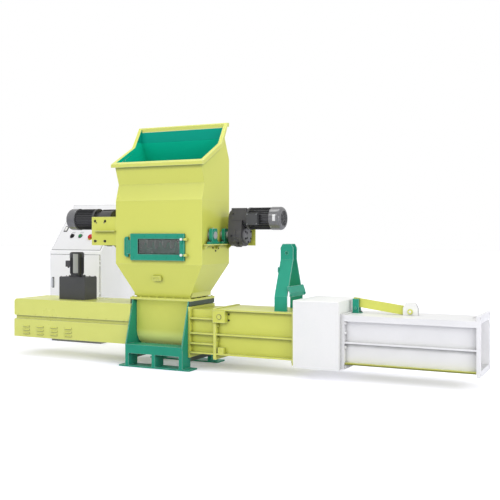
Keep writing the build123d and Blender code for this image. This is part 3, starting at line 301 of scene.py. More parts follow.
# Painted light: the cabinet's white is whiter and a touch blue, against the yellow light the
# machine throws on it.
cabinet_coat = powder_coat("white_cabinet_coat", "#FBFBFD", "#F8F8FA", roughness=0.36)
# Painted shade: the sloping console is a greyer white, against the light of the top lamp on it.
console_coat = powder_coat("white_console_coat", "#E8E8EA", "#E4E4E6", roughness=0.4)
green_enamel = powder_coat("green_enamel", "#239B7F", "#1F9379", roughness=0.4, **SHEET)
black_enamel = powder_coat("near_black_motor_enamel", "#38383A", "#323234", roughness=0.3,
                           waves=0.12, gloss=0.5)
grey_enamel = powder_coat("grey_casting_enamel", *CASTING_GREYS, **CASTING)
gearbox_enamel = powder_coat("grey_gearbox_enamel", *CASTING_GREYS, **CASTING)
# Painted highlight: the pale grey of the strip on the pump motor.
highlight_strip_enamel = powder_coat("pale_grey_plate_enamel", "#A9ABA5", "#A2A49E", roughness=0.3)
cowl_enamel = powder_coat("glossy_grey_cowl_enamel", "#69696B", "#626264", roughness=0.16,
                          gloss=0.8)
tank_enamel = powder_coat("dark_grey_tank_enamel", "#48494A", "#434445", roughness=0.38, gloss=0.4)
# Painted shade: the stand's ties get the stand's green darkened to grey-green, for the shade inside
# their channels.
tie_enamel = powder_coat("grey_green_tie_enamel", "#4C5A50", "#46534A", roughness=0.4)
plinth_coat = powder_coat("grey_plinth_coat", "#80817D", "#797A76", roughness=0.45)
yellow_bolt_paint = powder_coat("yellow_green_bolt_paint", "#CFD363", "#C9CD5F")
green_bolt_paint = powder_coat("green_bolt_paint", "#23997D", "#1F9177")
print("paints:", len(bpy.data.materials))

# %% [markdown]
# ## Two colours on one sheet
# The hopper is yellow outside and green inside. Both sides belong to one piece of sheet, so
# the paint has to know which side it is on. A wall's face looks away from the hopper's
# middle when it is outside, and towards it when it is inside, so the sign of a dot
# product between the face's direction and its place picks the colour. Above the fold at
# 2.9 m the lining faces the light more, and is painted a darker green than below it: painted
# shade that evens out how light falls in the hopper. The mouth's square rim is green only on
# its inner side, so its front and its top are kept out.

# %% Yellow outside and green inside
LINING = "#06C6A3"
LINING_ROUGHNESS = 0.6
LINING_GLOSS = 0.1
SHADED_UPPER_LINING = "#009F88"
LINING_FOLD = 2.9
# Limits of a face's direction: away from the hopper's middle, along Y and along Z.
INWARD, RIM_FRONT, RIM_TOP = -0.01, -0.5, 0.35


def mask_where(tree, tests):
    """A mask that is one where every (value, operation, limit) holds, and nought elsewhere."""
    mask = 1.0
    for value, operation, limit in tests:
        held = add(tree, "Math", (value, limit), operation=operation).outputs[0]
        mask = add(tree, "Math", (mask, held), operation="MULTIPLY").outputs[0]
    return mask


def repaint(material, mask, colour, roughness=None, gloss=None):
    """Lay a second colour, and if given its own roughness and gloss, where the mask is one."""
    tree = material.node_tree
    shader = tree.nodes["Principled BSDF"]
    for name, value in (("Base Color", linear(colour)), ("Roughness", roughness),
                        ("Specular IOR Level", gloss)):
        if value is None:
            continue
        socket = shader.inputs[name]
        before = socket.links[0].from_socket if socket.links else socket.default_value
        first, second, result, kind = MIX_COLOURS if name == "Base Color" else MIX_NUMBERS
        mixed = add(tree, "Mix", {0: mask, first: before, second: value}, data_type=kind)
        fill(tree, shader, {name: mixed.outputs[result]})


def lined_coat(name, outside, whole_ring=True, edges=0.2):
    """Powder coat with its own colour on faces that look out, and the lining's on the others."""
    material = powder_coat(name, outside, outside, gloss=0.6, edges=edges, corners=1.0)
    tree = material.node_tree
    where = add(tree, "NewGeometry")
    position, normal = where.outputs["Position"], where.outputs["True Normal"]
    level = add(tree, "VectorMath", (position, (1.0, 1.0, 0.0)), operation="MULTIPLY")
    outward = add(tree, "VectorMath", (level.outputs[0], normal), operation="DOT_PRODUCT")
    tests = [(outward.outputs["Value"], "LESS_THAN", INWARD)]
    if not whole_ring:
        look = add(tree, "SeparateXYZ", (normal,)).outputs
        tests += [(look["Y"], "GREATER_THAN", RIM_FRONT), (look["Z"], "LESS_THAN", RIM_TOP)]
    repaint(material, mask_where(tree, tests), LINING, LINING_ROUGHNESS, LINING_GLOSS)
    height = add(tree, "SeparateXYZ", (position,)).outputs["Z"]
    # Painted shade: above the fold the lining is painted darker.
    tests.append((height, "GREATER_THAN", LINING_FOLD))
    repaint(material, mask_where(tree, tests), SHADED_UPPER_LINING)
    return material


lined_hopper = lined_coat("yellow_coat_green_lining", "#D5D961")
lined_rim = lined_coat("yellow_rim_green_lining", YELLOW, whole_ring=False, edges=1.0)
print("paints:", len(bpy.data.materials))

# %% [markdown]
# ## Second colours inside limits
# Some parts have two colours: yellow shows under the white outlet's lowest rib and round the
# pin in the lever's lug, flange bolts are yellow or white as their flange is, a gearbox has a
# paler output cover and a cowl its blank label. Each patch is a box in space, inside which the
# paint changes. Other patches are painted light and shade: the lowest rib's underside is
# painted dark olive as painted shade, the outlet's far inner wall is painted pure white as
# painted light in its shaded inside, and the trough's belly is painted paler downwards, a
# painted highlight as if light came back to it from the floor.

# %% Coats with a second colour
RIB_ENDS = (2.45, 3.90)
RIB_EDGE, RIB_UNDERSIDE = 0.2255, 0.2240
COVER_START, COVER_TOP = 0.975, 1.765
COVER_GREY = "#6F6F71"
BELLY_TOP, BELLY_LOW = 0.47, 0.36


def repaint_within(material, colour, **limits):
    """Another colour between limits: for X, Y or Z a (low, high), None where one is open."""
    tree = material.node_tree
    position = add(tree, "NewGeometry").outputs["Position"]
    split = add(tree, "SeparateXYZ", (position,)).outputs
    tests = [(split[axis], operation, limit) for axis, ends in limits.items()
             for operation, limit in zip(("GREATER_THAN", "LESS_THAN"), ends)
             if limit is not None]
    repaint(material, mask_where(tree, tests), colour)


# Painted shade: the outlet's white is a little greyer than the white coat, against the extra light
# of the end lamp on its sides.
ribbed_white = powder_coat("white_coat_yellow_bottom_rib", "#EBEBEB", "#E7E7E7", **SATIN)
repaint_within(ribbed_white, YELLOW, X=RIB_ENDS, Z=(None, RIB_EDGE))
# Painted light: the far inner wall of the outlet, which lies in shade, is painted pure white.
repaint_within(ribbed_white, "#FFFFFF", X=(2.6, None), Y=(0.20, 0.2615), Z=(0.235, 0.745))
# Painted shade: the underside of the lowest rib is painted dark olive.
repaint_within(ribbed_white, "#7D8033", X=RIB_ENDS, Z=(None, RIB_UNDERSIDE))
for drive_side in ((COVER_START, None), (None, -COVER_START)):
    repaint_within(gearbox_enamel, COVER_GREY, X=drive_side, Z=(None, COVER_TOP))
repaint_within(cowl_enamel, "#DCDCDC", X=(1.402, 1.440), Y=(None, 0.10), Z=(1.835, 1.915))

# Painted highlight: the trough's belly is painted paler downwards, as if light came back to it from
# the floor.
trough_coat = powder_coat("yellow_coat_pale_trough_bottom", YELLOW, DEEP_YELLOW, edges=1.0)
tree = trough_coat.node_tree
position = add(tree, "NewGeometry").outputs["Position"]
height = add(tree, "SeparateXYZ", (position,)).outputs["Z"]
belly_highlight = add(tree, "MapRange", (height, BELLY_TOP, BELLY_LOW, 0.0, 1.0),
            interpolation_type="SMOOTHSTEP")
repaint(trough_coat, belly_highlight.outputs[0], "#FEFF9C")

lug_white = powder_coat("white_coat_yellow_pin_ring", *WHITES, **SATIN)
repaint_within(lug_white, YELLOW, Y=(-0.0465, -0.0364))
flange_paint = powder_coat("paint_over_flange_bolts", YELLOW, DEEP_YELLOW, **SATIN)
repaint_within(flange_paint, WHITES[0], X=(2.1, None))
print("paints:", len(bpy.data.materials))

# %% [markdown]
# ## Bare metal, glass and plastic
# The screw and rotors are bare steel, scoured by foam, so their gloss is broken up by fine
# scratches. Small screws are zinc plated, brighter and smoother, or blackened in an oxide
# bath. The window is a polycarbonate pane, tinted slightly by dust on its inside.

# %% Metals
SCRATCH_STRETCH = (1.0, 1.0, 6.0)
SCRATCH_DEPTH = 0.0006


def worked_metal(name, colour, roughness, scratch_mm, scratches=0.25):
    """A metal whose roughness and surface are broken by stretched scratches."""
    material, tree, shader = new_material(name)
    place = add(tree, "TexCoord").outputs["Object"]
    drawn = add(tree, "Mapping", {"Vector": place, "Scale": SCRATCH_STRETCH})
    grain = add(tree, "TexNoise", {
        "Vector": drawn.outputs[0], "Scale": millimetres(scratch_mm), "Detail": 4.0,
        "Roughness": 0.6}).outputs["Fac"]
    matt = add(tree, "MapRange", (grain, *MATT_SPAN, roughness - 0.08, roughness + 0.12))
    bump = add(tree, "Bump", {"Height": grain, "Strength": scratches, "Distance": SCRATCH_DEPTH})
    fill(tree, shader, {"Base Color": linear(colour), "Metallic": 1.0,
                        "Roughness": matt.outputs[0], "Normal": bump.outputs["Normal"]})
    return material


bare_steel = worked_metal("scoured_bare_steel", "#A7A8AA", 0.38, 14)
rotor_steel = worked_metal("blasted_rotor_steel", "#DCDDDF", 0.6, 14)
zinc_plate = worked_metal("zinc_plated_steel", "#C9CBCD", 0.28, 8, scratches=0.1)
black_oxide = worked_metal("black_oxide_steel", "#3A3A3D", 0.42, 8, scratches=0.1)
plate_aluminium = worked_metal("brushed_aluminium_plate", "#D2D3D5", 0.34, 5, scratches=0.15)
print("metals ready")

# %% Plastics
ABS_IOR = 1.49
GRAIN_DEPTH = 0.0005


def moulded_plastic(name, colour, roughness, grain_mm=6, grain=0.1):
    """A moulded plastic with a faint spark-eroded grain, drawn coarser than the real one."""
    material, tree, shader = new_material(name)
    place = add(tree, "TexCoord").outputs["Object"]
    texture = add(tree, "TexNoise", {
        "Vector": place, "Scale": millimetres(grain_mm), "Detail": 2.0}).outputs["Fac"]
    bump = add(tree, "Bump", {"Height": texture, "Strength": grain, "Distance": GRAIN_DEPTH})
    matt = add(tree, "MapRange", (texture, 0.0, 1.0, roughness - 0.03, roughness + 0.05))
    fill(tree, shader, {"Base Color": linear(colour), "IOR": ABS_IOR,
                        "Roughness": matt.outputs[0], "Normal": bump.outputs["Normal"]})
    return material


RUBBER = {"grain_mm": 10, "grain": 0.3}
black_plastic = moulded_plastic("black_moulded_abs", "#1B1B1C", 0.35)
green_plastic = moulded_plastic("green_moulded_abs", "#0F7A3A", 0.25)
red_plastic = moulded_plastic("red_moulded_abs", "#C01A18", 0.25)
yellow_plastic = moulded_plastic("yellow_moulded_abs", "#E6C21E", 0.3)
white_plastic = moulded_plastic("white_moulded_abs", "#E9E9E6", 0.35)
black_rubber = moulded_plastic("black_rubber_gasket", "#161616", 0.7, **RUBBER)
grey_rubber = moulded_plastic("grey_rubber_seal", "#4A4B4C", 0.7, **RUBBER)
print("materials:", len(bpy.data.materials))

# %% The pane, dusty on its inside
POLYCARBONATE_IOR = 1.58
DUST_MM = 60
DUST_SPAN = (0.35, 0.75)
CLEAN, DUSTY = 0.02, 0.08

pane, tree, shader = new_material("smoked_polycarbonate")
place = add(tree, "TexCoord").outputs["Object"]
film = add(tree, "TexNoise", {"Vector": place, "Scale": millimetres(DUST_MM), "Detail": 5.0})
matt = add(tree, "MapRange", (film.outputs["Fac"], *DUST_SPAN, CLEAN, DUSTY))
fill(tree, shader, {"Base Color": linear("#C4C8C5"), "IOR": POLYCARBONATE_IOR,
                    "Transmission Weight": 0.92, "Roughness": matt.outputs[0]})
print("pane:", pane.name)

# %% [markdown]
# ## The latches
# Each latch is a green casting that turns on a white hub. The hub is part of the same solid,
# so the paint finds it by its distance from the latch's axis, in the latch's own coordinates,
# where it stays while the latch turns.

# %% Green latches with a white hub
LATCH_X = 0.365
LATCH_HEIGHTS = {"lower": 1.4135, "upper": 1.6095}
HUB_RADIUS = 0.0165
latch_enamel = {}
for side, height in LATCH_HEIGHTS.items():
    material = powder_coat("green_latch_enamel_" + side, "#25A183", "#21997D", roughness=0.4)
    tree = material.node_tree
    hub = nodes["door_latch_" + side].matrix_world.inverted() @ Vector((LATCH_X, 0, height))
    spot = add(tree, "TexCoord").outputs["Object"]
    off = add(tree, "VectorMath", (spot, tuple(hub)), operation="SUBTRACT")
    level = add(tree, "VectorMath", (off.outputs[0], (1.0, 0.0, 1.0)), operation="MULTIPLY")
    reach = add(tree, "VectorMath", (level.outputs[0],), operation="LENGTH")
    inside = mask_where(tree, [(reach.outputs["Value"], "LESS_THAN", HUB_RADIUS)])
    repaint(material, inside, WHITES[0])
    latch_enamel[side] = material
print("materials:", len(bpy.data.materials))

# %% [markdown]
# ## Dressing the solids
# Each solid keeps its shape and gets the finish that the real part has, but for the few finishes
# that carry painted light or shade, which say so where they are made.

# %% Finish for each solid
FINISHES = (
    (trough_coat, "screw_trough"),
    (yellow_coat, "level_sensor bearing_shelf_left bearing_shelf_right torque_bracket_left "
                  "torque_bracket_right chamber_inlet chamber_section lever_arm door_keepers"),
    (lid_coat, "enclosure_base enclosure_lid"),
    (lined_hopper, "feed_chute crusher_housing lower_funnel"),
    (lined_rim, "mouth_rim"),
    (green_enamel, "stand_front stand_rear pillow_blocks door_frame door_hinge_post "
                   "lifting_bracket bracket_cross_bar lever_saddle"),
    (white_coat, "clamp_section clamp_cover"),
    (cabinet_coat, "cabinet_body cabinet_door cabinet_hinges"),
    (console_coat, "console_panel"),
    (ribbed_white, "discharge_section"),
    (lug_white, "lever_lug"),
    (flange_paint, "flange_bolts"),
    (black_enamel, "drive_motor_left drive_motor_right main_motor pump_motor"),
    (gearbox_enamel, "gearbox_left gearbox_right"),
    (grey_enamel, "main_gearbox pump_terminal_box"),
    (cowl_enamel, "fan_cowl_left fan_cowl_right"),
    (tank_enamel, "oil_tank terminal_box_left terminal_box_right"),
    (tie_enamel, "stand_ties"),
    (plinth_coat, "cabinet_plinth"),
    (bare_steel, "auger_screw auger_bearing"),
    (rotor_steel, "rotor_front rotor_rear"),
    (zinc_plate, "cabinet_lock"),
    *((latch_enamel[side], "door_latch_" + side) for side in LATCH_HEIGHTS),
    (pane, "door_window"),
    (black_plastic, "selector_knob"),
    (green_plastic, "push_button"),
    (red_plastic, "emergency_stop"),
)
dressed = 0
for finish, names in FINISHES:
    for name in names.split():
        mesh = nodes[name].data
        if not mesh.materials:
            mesh.materials.append(finish)
        for index in range(len(mesh.materials)):
            mesh.materials[index] = finish
        dressed += 1
print("dressed", dressed, "of", len(nodes))

# %% [markdown]
# ## Small metalwork
# Screws, washers, beads and plates are what the eye looks for on a machine this size. Round
# things are a profile spun round an axis, the way a lathe makes them; a hexagon head is the
# same with six sides. Each group of like pieces is one mesh, built with bmesh, because a
# hundred separate screws would only clutter the scene.

# %% Mesh helpers
SHARP = math.radians(35)  # a sharper bend than this shows as an edge


def facing(place, direction):
    """A matrix that stands a shape on a place, with its Z along a direction."""
    turn = Vector(direction).to_track_quat("Z", "Y").to_matrix().to_4x4()
    return Matrix.Translation(place) @ turn


def along(start, end, count):
    """Evenly spaced values from start to end, both included."""
    return [start + (end - start) * step / (count - 1) for step in range(count)]


def circle(count, radius, first=0.0):
    """Pairs (across, up) evenly spaced on a circle, the first at an angle in degrees."""
    angles = [math.radians(first) + math.tau * step / count for step in range(count)]
    return [(radius * math.cos(angle), radius * math.sin(angle)) for angle in angles]


def band(inner, outer, low, high):
    """The profile of a flat ring, or of a disc where the inner radius is nought."""
    profile = [(inner, low), (outer, low), (outer, high), (inner, high)]
    return profile + profile[:1] if inner else profile


def add_spun(mesh, profile, stand, sides):
    """Spin (radius, height) pairs round a matrix's Z; radius 0 or the first pair closes it."""
    rings = []
    for pair in profile:
        radius, height = pair
        if rings and pair == profile[0]:
            rings.append(rings[0])
        elif radius == 0:
            rings.append([mesh.verts.new(stand @ Vector((0, 0, height)))] * sides)
        else:
            rings.append([mesh.verts.new(stand @ Vector((*spot, height)))
                          for spot in circle(sides, radius)])
    for low, high in zip(rings, rings[1:]):
        for step in range(sides):
            after = (step + 1) % sides
            corners = [low[step], low[after], high[after], high[step]]
            unlike = list(dict.fromkeys(corners))
            if len(unlike) > 2:
                mesh.faces.new(unlike)


def add_torus(mesh, stand, radius, tube, steps=32, sides=8):
    """A round bar bent to a ring that lies flat on a standing matrix."""
    profile = [(radius + across, up) for across, up in circle(sides, tube)]
    add_spun(mesh, profile + profile[:1], stand, steps)


def add_prism(mesh, outline, span):
    """A bar with the given outline at one end, carried along a span and closed."""
    ends = [[mesh.verts.new(Vector(point) + Vector(offset)) for point in outline]
            for offset in ((0, 0, 0), span)]
    for step, start in enumerate(ends[0]):
        after = (step + 1) % len(outline)
        mesh.faces.new((start, ends[0][after], ends[1][after], ends[1][step]))
    mesh.faces.new(ends[0])
    mesh.faces.new(ends[1][::-1])


def add_plate(mesh, low, high, soft, stand=Matrix.Identity(4)):
    """A block between two corners with softened edges."""
    made = bmesh.ops.create_cube(mesh, size=1.0)["verts"]
    low, high = Vector(low), Vector(high)
    for vert in made:
        vert.co = Vector((low[axis] + (vert.co[axis] + 0.5) * (high[axis] - low[axis])
                          for axis in range(3)))
    edges = list({edge for vert in made for edge in vert.link_edges})
    grown = bmesh.ops.bevel(mesh, geom=edges, offset=soft, segments=2, affect="EDGES", profile=0.7)
    verts = {vert for face in grown["faces"] for vert in face.verts}
    for vert in verts | {vert for vert in made if vert.is_valid}:
        vert.co = stand @ vert.co


def keep(name, mesh, finish, body="root"):
    """Turn a built mesh into a piece of the machine that rides on a body."""
    bmesh.ops.recalc_face_normals(mesh, faces=mesh.faces[:])
    data = bpy.data.meshes.new(name)
    mesh.to_mesh(data)
    mesh.free()
    data.materials.append(finish)
    data.shade_smooth()
    data.set_sharp_from_angle(angle=SHARP)
    piece = bpy.data.objects.new(name, data)
    scene.collection.objects.link(piece)
    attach(piece, body)
    print(name, len(data.polygons), "faces")


# %% [markdown]
# ## Bolted joints
# The funnel stands on the trough with a ring of M12 bolts; bearings, drives and pump are
# bolted down with bigger and smaller ones. They could be part of the solids, but carry no
# joint of their own. A head's proportions are a standard screw's and follow from one size.
# The second drive is the first one turned half round, and its screws are found likewise.

# %% Screws and groups of screws
M8_ACROSS = 0.013
M12_ACROSS = 0.018
M16_ACROSS = 0.024
LEFT, RIGHT, FRONT, BACK = (-1, 0, 0), (1, 0, 0), (0, -1, 0), (0, 1, 0)
UP, DOWN = (0, 0, 1), (0, 0, -1)


def hex_screw(mesh, place, direction, across, washer=True):
    """A hexagon head, over a washer or without one; across is its size over the flats."""
    stand = facing(place, direction)
    corner = across / math.sqrt(3)
    base = 0.0
    if washer:
        base = 0.14 * across
        add_spun(mesh, [(0, 0), (0.95 * across, 0), (0.95 * across, 0.8 * base),
                        (0.88 * across, base), (0, base)], stand, 20)
    top = base + 0.62 * across
    add_spun(mesh, [(0, base), (corner, base), (corner, top - 0.1 * across),
                    (0.84 * corner, top), (0, top)], stand, 6)


def pan_screw(mesh, place, direction, radius):
    """A round-headed screw with a recess for its driver."""
    shape = ((0, 0), (1, 0), (0.96, 0.35), (0.7, 0.6), (0.36, 0.68), (0.3, 0.3), (0, 0.3))
    add_spun(mesh, [(radius * across, radius * up) for across, up in shape],
             facing(place, direction), 16)


def screws(kind, name, places, size, finish, body="root", **more):
    """One mesh of like screws at the given places and directions."""
    mesh = bmesh.new()
    for place, direction in places:
        kind(mesh, place, direction, size, **more)
    keep(name, mesh, finish, body)


def with_turned(places):
    """Places and directions, and the same turned half round about the hopper's middle."""
    return places + [((-p[0], -p[1], p[2]), (-d[0], -d[1], d[2])) for p, d in places]


# %% Hopper ring
JOINT_PLATE = 0.014
BOLT_INSET = 0.026
trough_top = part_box("screw_trough")[1]
joint_top = trough_top.z + JOINT_PLATE
edge_x, edge_y = trough_top.x - BOLT_INSET, trough_top.y - BOLT_INSET
ring_places = [((x, y, joint_top), UP) for x in along(-edge_x, edge_x, 8)
               for y in (-edge_y, edge_y)]
ring_places += [((x, y, joint_top), UP) for y in along(-edge_y, edge_y, 5)[1:-1]
                for x in (-edge_x, edge_x)]
screws(hex_screw, "hopper_ring_bolts", ring_places, M12_ACROSS, yellow_bolt_paint)

# %% Bearings and their shelves
ROTORS_Y = (-0.165, 0.165)
ROTOR_Y, ROTOR_Z = ROTORS_Y[1], 1.660
BEARING_X, BEARING_FACE = 0.687, 0.716
BEARING_TOP = ROTOR_Z + 0.084
FOOT_BOLT = 0.098
FOOT_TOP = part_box("bearing_shelf_right")[1].z + 0.036
WALL_X = 0.636
WALL_BOLTS = ((-0.086, 1.502), (0.056, 1.496), (-0.018, 1.464))
COVER_CIRCLE = 0.0515
SMALL_HEAD = 0.004
NIPPLE = [(0, 0), (0.006, 0), (0.006, 0.006), (0.0035, 0.007), (0.0035, 0.012),
          (0.0045, 0.014), (0.0030, 0.018), (0, 0.018)]

foot_places = [((BEARING_X, y + side * FOOT_BOLT, FOOT_TOP), UP) for y in ROTORS_Y
               for side in (-1, 1)]
screws(hex_screw, "bearing_foot_bolts", with_turned(foot_places), M16_ACROSS, black_oxide)
shelf_places = [((WALL_X, y, z), RIGHT) for y, z in WALL_BOLTS]
screws(hex_screw, "shelf_wall_bolts", with_turned(shelf_places), M12_ACROSS, black_oxide,
       washer=False)
cover_places = [((BEARING_FACE, y + a, ROTOR_Z + b), RIGHT) for y in ROTORS_Y
                for a, b in circle(4, COVER_CIRCLE, 45)]
screws(pan_screw, "bearing_cover_screws", with_turned(cover_places), SMALL_HEAD, zinc_plate)
nipples = bmesh.new()
for place, direction in with_turned([((BEARING_X, y, BEARING_TOP), UP) for y in ROTORS_Y]):
    add_spun(nipples, NIPPLE, facing(place, direction), 12)
keep("grease_nipples", nipples, zinc_plate)

# %% [markdown]
# ## Shredder drives
# Each drive is a geared motor: a cast gearbox with its output cover, a ribbed motor, its
# terminal box and a pressed fan cowl with an air grille. The castings come from the solids;
# what is added here is what a fitter touches: screws, plugs, glands, lids and grilles. The
# pump motor further left carries a pale strip, bent round it from three plates, where its
# glossy casing would show a highlight: a painted highlight.

# %% Gearbox screws and plugs
BRACKET_FACE = 0.355
COVER_FACE, COVER_SCREWS = 1.008, 0.086
FLANGE_BACK, FLANGE_SCREWS = 1.034, 0.122
MOTOR_Z = 1.868
GEARBOX_ACROSS = 0.015
PLUG_SIDE = ((0.84, ROTOR_Y - 0.138, ROTOR_Z - 0.01), FRONT)
PLUG_BELOW = ((0.92, ROTOR_Y - 0.100, ROTOR_Z - 0.098), (0, -0.7, -0.7))

bracket_places = [((x, BRACKET_FACE, z), BACK) for x in (0.808, 0.968) for z in (1.582, 1.842)]
screws(hex_screw, "torque_bracket_bolts", with_turned(bracket_places), M12_ACROSS, black_oxide)
gear_places = [((COVER_FACE, ROTOR_Y + a, ROTOR_Z + b), RIGHT)
               for a, b in circle(6, COVER_SCREWS, 30)]
gear_places += [((FLANGE_BACK, ROTOR_Y + a, MOTOR_Z + b), LEFT)
                for a, b in circle(4, FLANGE_SCREWS, 45)]
screws(hex_screw, "gearbox_screws", with_turned(gear_places), GEARBOX_ACROSS, black_oxide)
plugs = bmesh.new()
for place, direction in with_turned([PLUG_SIDE, PLUG_BELOW]):
    add_spun(plugs, band(0, 0.013, -0.004, 0.004), facing(place, direction), 20)
    add_spun(plugs, [(0, 0.004), (0.009, 0.004), (0.009, 0.011), (0.008, 0.013), (0, 0.013)],
             facing(place, direction), 6)
keep("oil_plugs", plugs, black_oxide)

# %% Pale strip on the pump motor, a painted highlight
PUMP_X, PUMP_Y = -1.500, -0.050
PLATE_Z = 1.272
PLATE_RADIUS = 0.0997
STRIP_WIDTH, STRIP_HEIGHT, STRIP_THICKNESS = 0.0235, 0.262, 0.003
pump_highlight_strips = bmesh.new()
half_strip = Vector((STRIP_WIDTH, STRIP_HEIGHT, STRIP_THICKNESS)) / 2
for degrees in (-77, -64, -51):
    outward = Vector((math.cos(math.radians(degrees)), math.sin(math.radians(degrees)), 0))
    place = Vector((PUMP_X, PUMP_Y, PLATE_Z)) + outward * PLATE_RADIUS
    add_plate(pump_highlight_strips, -half_strip, half_strip, 0.0012, facing(place, outward))
keep("pump_highlight_strip", pump_highlight_strips, highlight_strip_enamel)

# %% Terminal boxes
BOX_FRONT = -0.021
LID_THICKNESS = 0.005
BOX_HEAD = 0.005
lids = bmesh.new()
for turn in (Matrix.Identity(4), Matrix.Rotation(math.pi, 4, "Z")):
    add_plate(lids, (1.0735, BOX_FRONT - LID_THICKNESS, 1.790), (1.2185, BOX_FRONT, 1.928),
              0.0016, turn)
keep("terminal_box_lids", lids, tank_enamel)
box_screws = [((x, BOX_FRONT - LID_THICKNESS, z), FRONT) for x in (1.083, 1.209)
              for z in (1.799, 1.919)]
screws(pan_screw, "terminal_box_screws", with_turned(box_screws), BOX_HEAD, zinc_plate)

glands = bmesh.new()
gland_places = with_turned([((x, 0.014, 1.786), DOWN) for x in (1.115, 1.177)])
gland_places.append(((-1.645, PUMP_Y, 1.223), DOWN))
for place, direction in gland_places:
    add_spun(glands, band(0, 0.014, -0.002, 0.008), facing(place, direction), 6)
    add_spun(glands, [(0, 0.008), (0.0115, 0.008), (0.0115, 0.016), (0.009, 0.019), (0, 0.019)],
             facing(place, direction), 16)
keep("plugged_glands", glands, black_plastic)

# %% Fan cowls
COWL_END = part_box("fan_cowl_right")[1].x
OPENING_RADIUS = 0.096
GRILLE_RADII = (0.018, 0.036, 0.054, 0.072, 0.090)
WIRE_RADIUS = 0.0022
SPOKE = Vector((0.042, 0.0025, 0.0015))
COWL_SCREW_BACK, COWL_RADIUS = 0.134, 0.1435
PANEL_HEAD = 0.006
cowl_opening_shade = bmesh.new()
grilles = bmesh.new()
cowl_screws = []
for sign, direction in ((1, RIGHT), (-1, LEFT)):
    stand = facing((sign * COWL_END, sign * ROTOR_Y, MOTOR_Z), direction)
    # Painted shade: a black disc behind each grille stands for the dark inside of the air opening.
    add_spun(cowl_opening_shade, band(0, OPENING_RADIUS, -0.002, 0.0008), stand, 48)
    for radius in GRILLE_RADII:
        add_torus(grilles, stand @ Matrix.Translation((0, 0, 0.002)), radius, WIRE_RADIUS, 40, 6)
    for across, up in circle(4, 0.055, 45):
        turned = Matrix.Rotation(math.atan2(up, across), 4, "Z")
        add_plate(grilles, -SPOKE, SPOKE, 0.0006,
                  stand @ Matrix.Translation((across, up, 0.0018)) @ turned)
    cowl_screws += [((sign * (COWL_END - COWL_SCREW_BACK), sign * ROTOR_Y + a, MOTOR_Z + b),
                     (0, a, b)) for a, b in circle(4, COWL_RADIUS, 45)]
keep("cowl_opening_shade_discs", cowl_opening_shade, black_rubber)
keep("cowl_grilles", grilles, cowl_enamel)
screws(pan_screw, "cowl_screws", cowl_screws, PANEL_HEAD, zinc_plate)

# %% [markdown]
# ## Inspection door
# A rubber strip holds the pane in its frame and another seals the door against the wall.
# They are plain strips with softened edges, as extruded rubber is, laid just clear of the
# parts they touch, and they ride on the door so that they swing with it.

# %% Seals and screws of the door
DOOR_FRONT = -0.385
DOOR_HEAD = 0.0065
DOOR_MIDDLE = 1.5115
SCREW_LEFT, SCREW_RIGHT = -0.342, 0.30


def strips(low, high, width):
    """The corners of four strips laid round a rectangle, inside its edges."""
    (x0, z0), (x1, z1) = low, high
    return (((x0, z0), (x1, z0 + width)), ((x0, z1 - width), (x1, z1)),
            ((x0, z0 + width), (x0 + width, z1 - width)),
            ((x1 - width, z0 + width), (x1, z1 - width)))


def add_frame(mesh, low, high, width, near, far, soft=0.0008):
    """Four strips round a rectangle in X and Z, between two depths."""
    for a, b in strips(low, high, width):
        add_plate(mesh, (a[0], near, a[1]), (b[0], far, b[1]), soft)


seals = bmesh.new()
add_frame(seals, (-0.284, 1.420), (0.332, 1.615), 0.008, -0.3785, -0.3727)
add_frame(seals, (-0.392, 1.351), (0.389, 1.672), 0.012, -0.3599, -0.3584, 0.0004)
keep("door_seals", seals, black_rubber, "inspection_door")
frame_screws = [((x, DOOR_FRONT, z), FRONT) for x in along(SCREW_LEFT, SCREW_RIGHT, 5)
                for z in (1.380, 1.648)]
frame_screws += [((x, DOOR_FRONT, DOOR_MIDDLE), FRONT) for x in (SCREW_LEFT, LATCH_X)]
screws(pan_screw, "door_frame_screws", frame_screws, DOOR_HEAD, green_bolt_paint, "inspection_door")
post_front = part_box("door_hinge_post")[0].y
post_places = [((-0.468, post_front, z), FRONT) for z in (1.425, DOOR_MIDDLE, 1.598)]
screws(pan_screw, "hinge_post_screws", post_places, PANEL_HEAD, green_bolt_paint)

# %% [markdown]
# ## Drive enclosure and power pack
# The louvres are pressed outwards over their slots, so each slot gets a hood: a bent tongue
# of sheet with closed ends. The lid is held by small screws along its lower edge, the
# tank's lid and the pump by bolts.

# %% Louvre hoods
TRAY_FRONT = -0.355
LOUVRE_X, LOUVRE_PITCH, COLUMNS = -2.121, 0.237, 4
LOUVRE_Z, LOUVRE_DROP, ROWS = 0.410, 0.048, 3
HALF_HOOD = 0.058
HOOD_SHEET = 0.0015
# Outlines as (out of the tray, up) from the middle of a slot.
TONGUE = ((0.000, 0.016), (-0.003, 0.0145), (-0.010, 0.002), (-0.010, -0.004),
          (-0.0085, -0.004), (-0.0085, 0.0015), (-0.002, 0.012), (0.000, 0.0135))
CHEEK = ((0.001, 0.016), (-0.003, 0.0145), (-0.010, 0.002), (-0.010, -0.004), (0.001, -0.004))
HOOD_PARTS = ((TONGUE, -HALF_HOOD, 2 * HALF_HOOD), (CHEEK, -HALF_HOOD, HOOD_SHEET),
              (CHEEK, HALF_HOOD, -HOOD_SHEET))

hoods = bmesh.new()
for column in range(COLUMNS):
    for row in range(ROWS):
        x, z = LOUVRE_X + LOUVRE_PITCH * column, LOUVRE_Z - LOUVRE_DROP * row
        for outline, start, span in HOOD_PARTS:
            add_prism(hoods, [(x + start, TRAY_FRONT + out, z + up) for out, up in outline],
                      (span, 0, 0))
keep("louvre_hoods", hoods, yellow_coat)

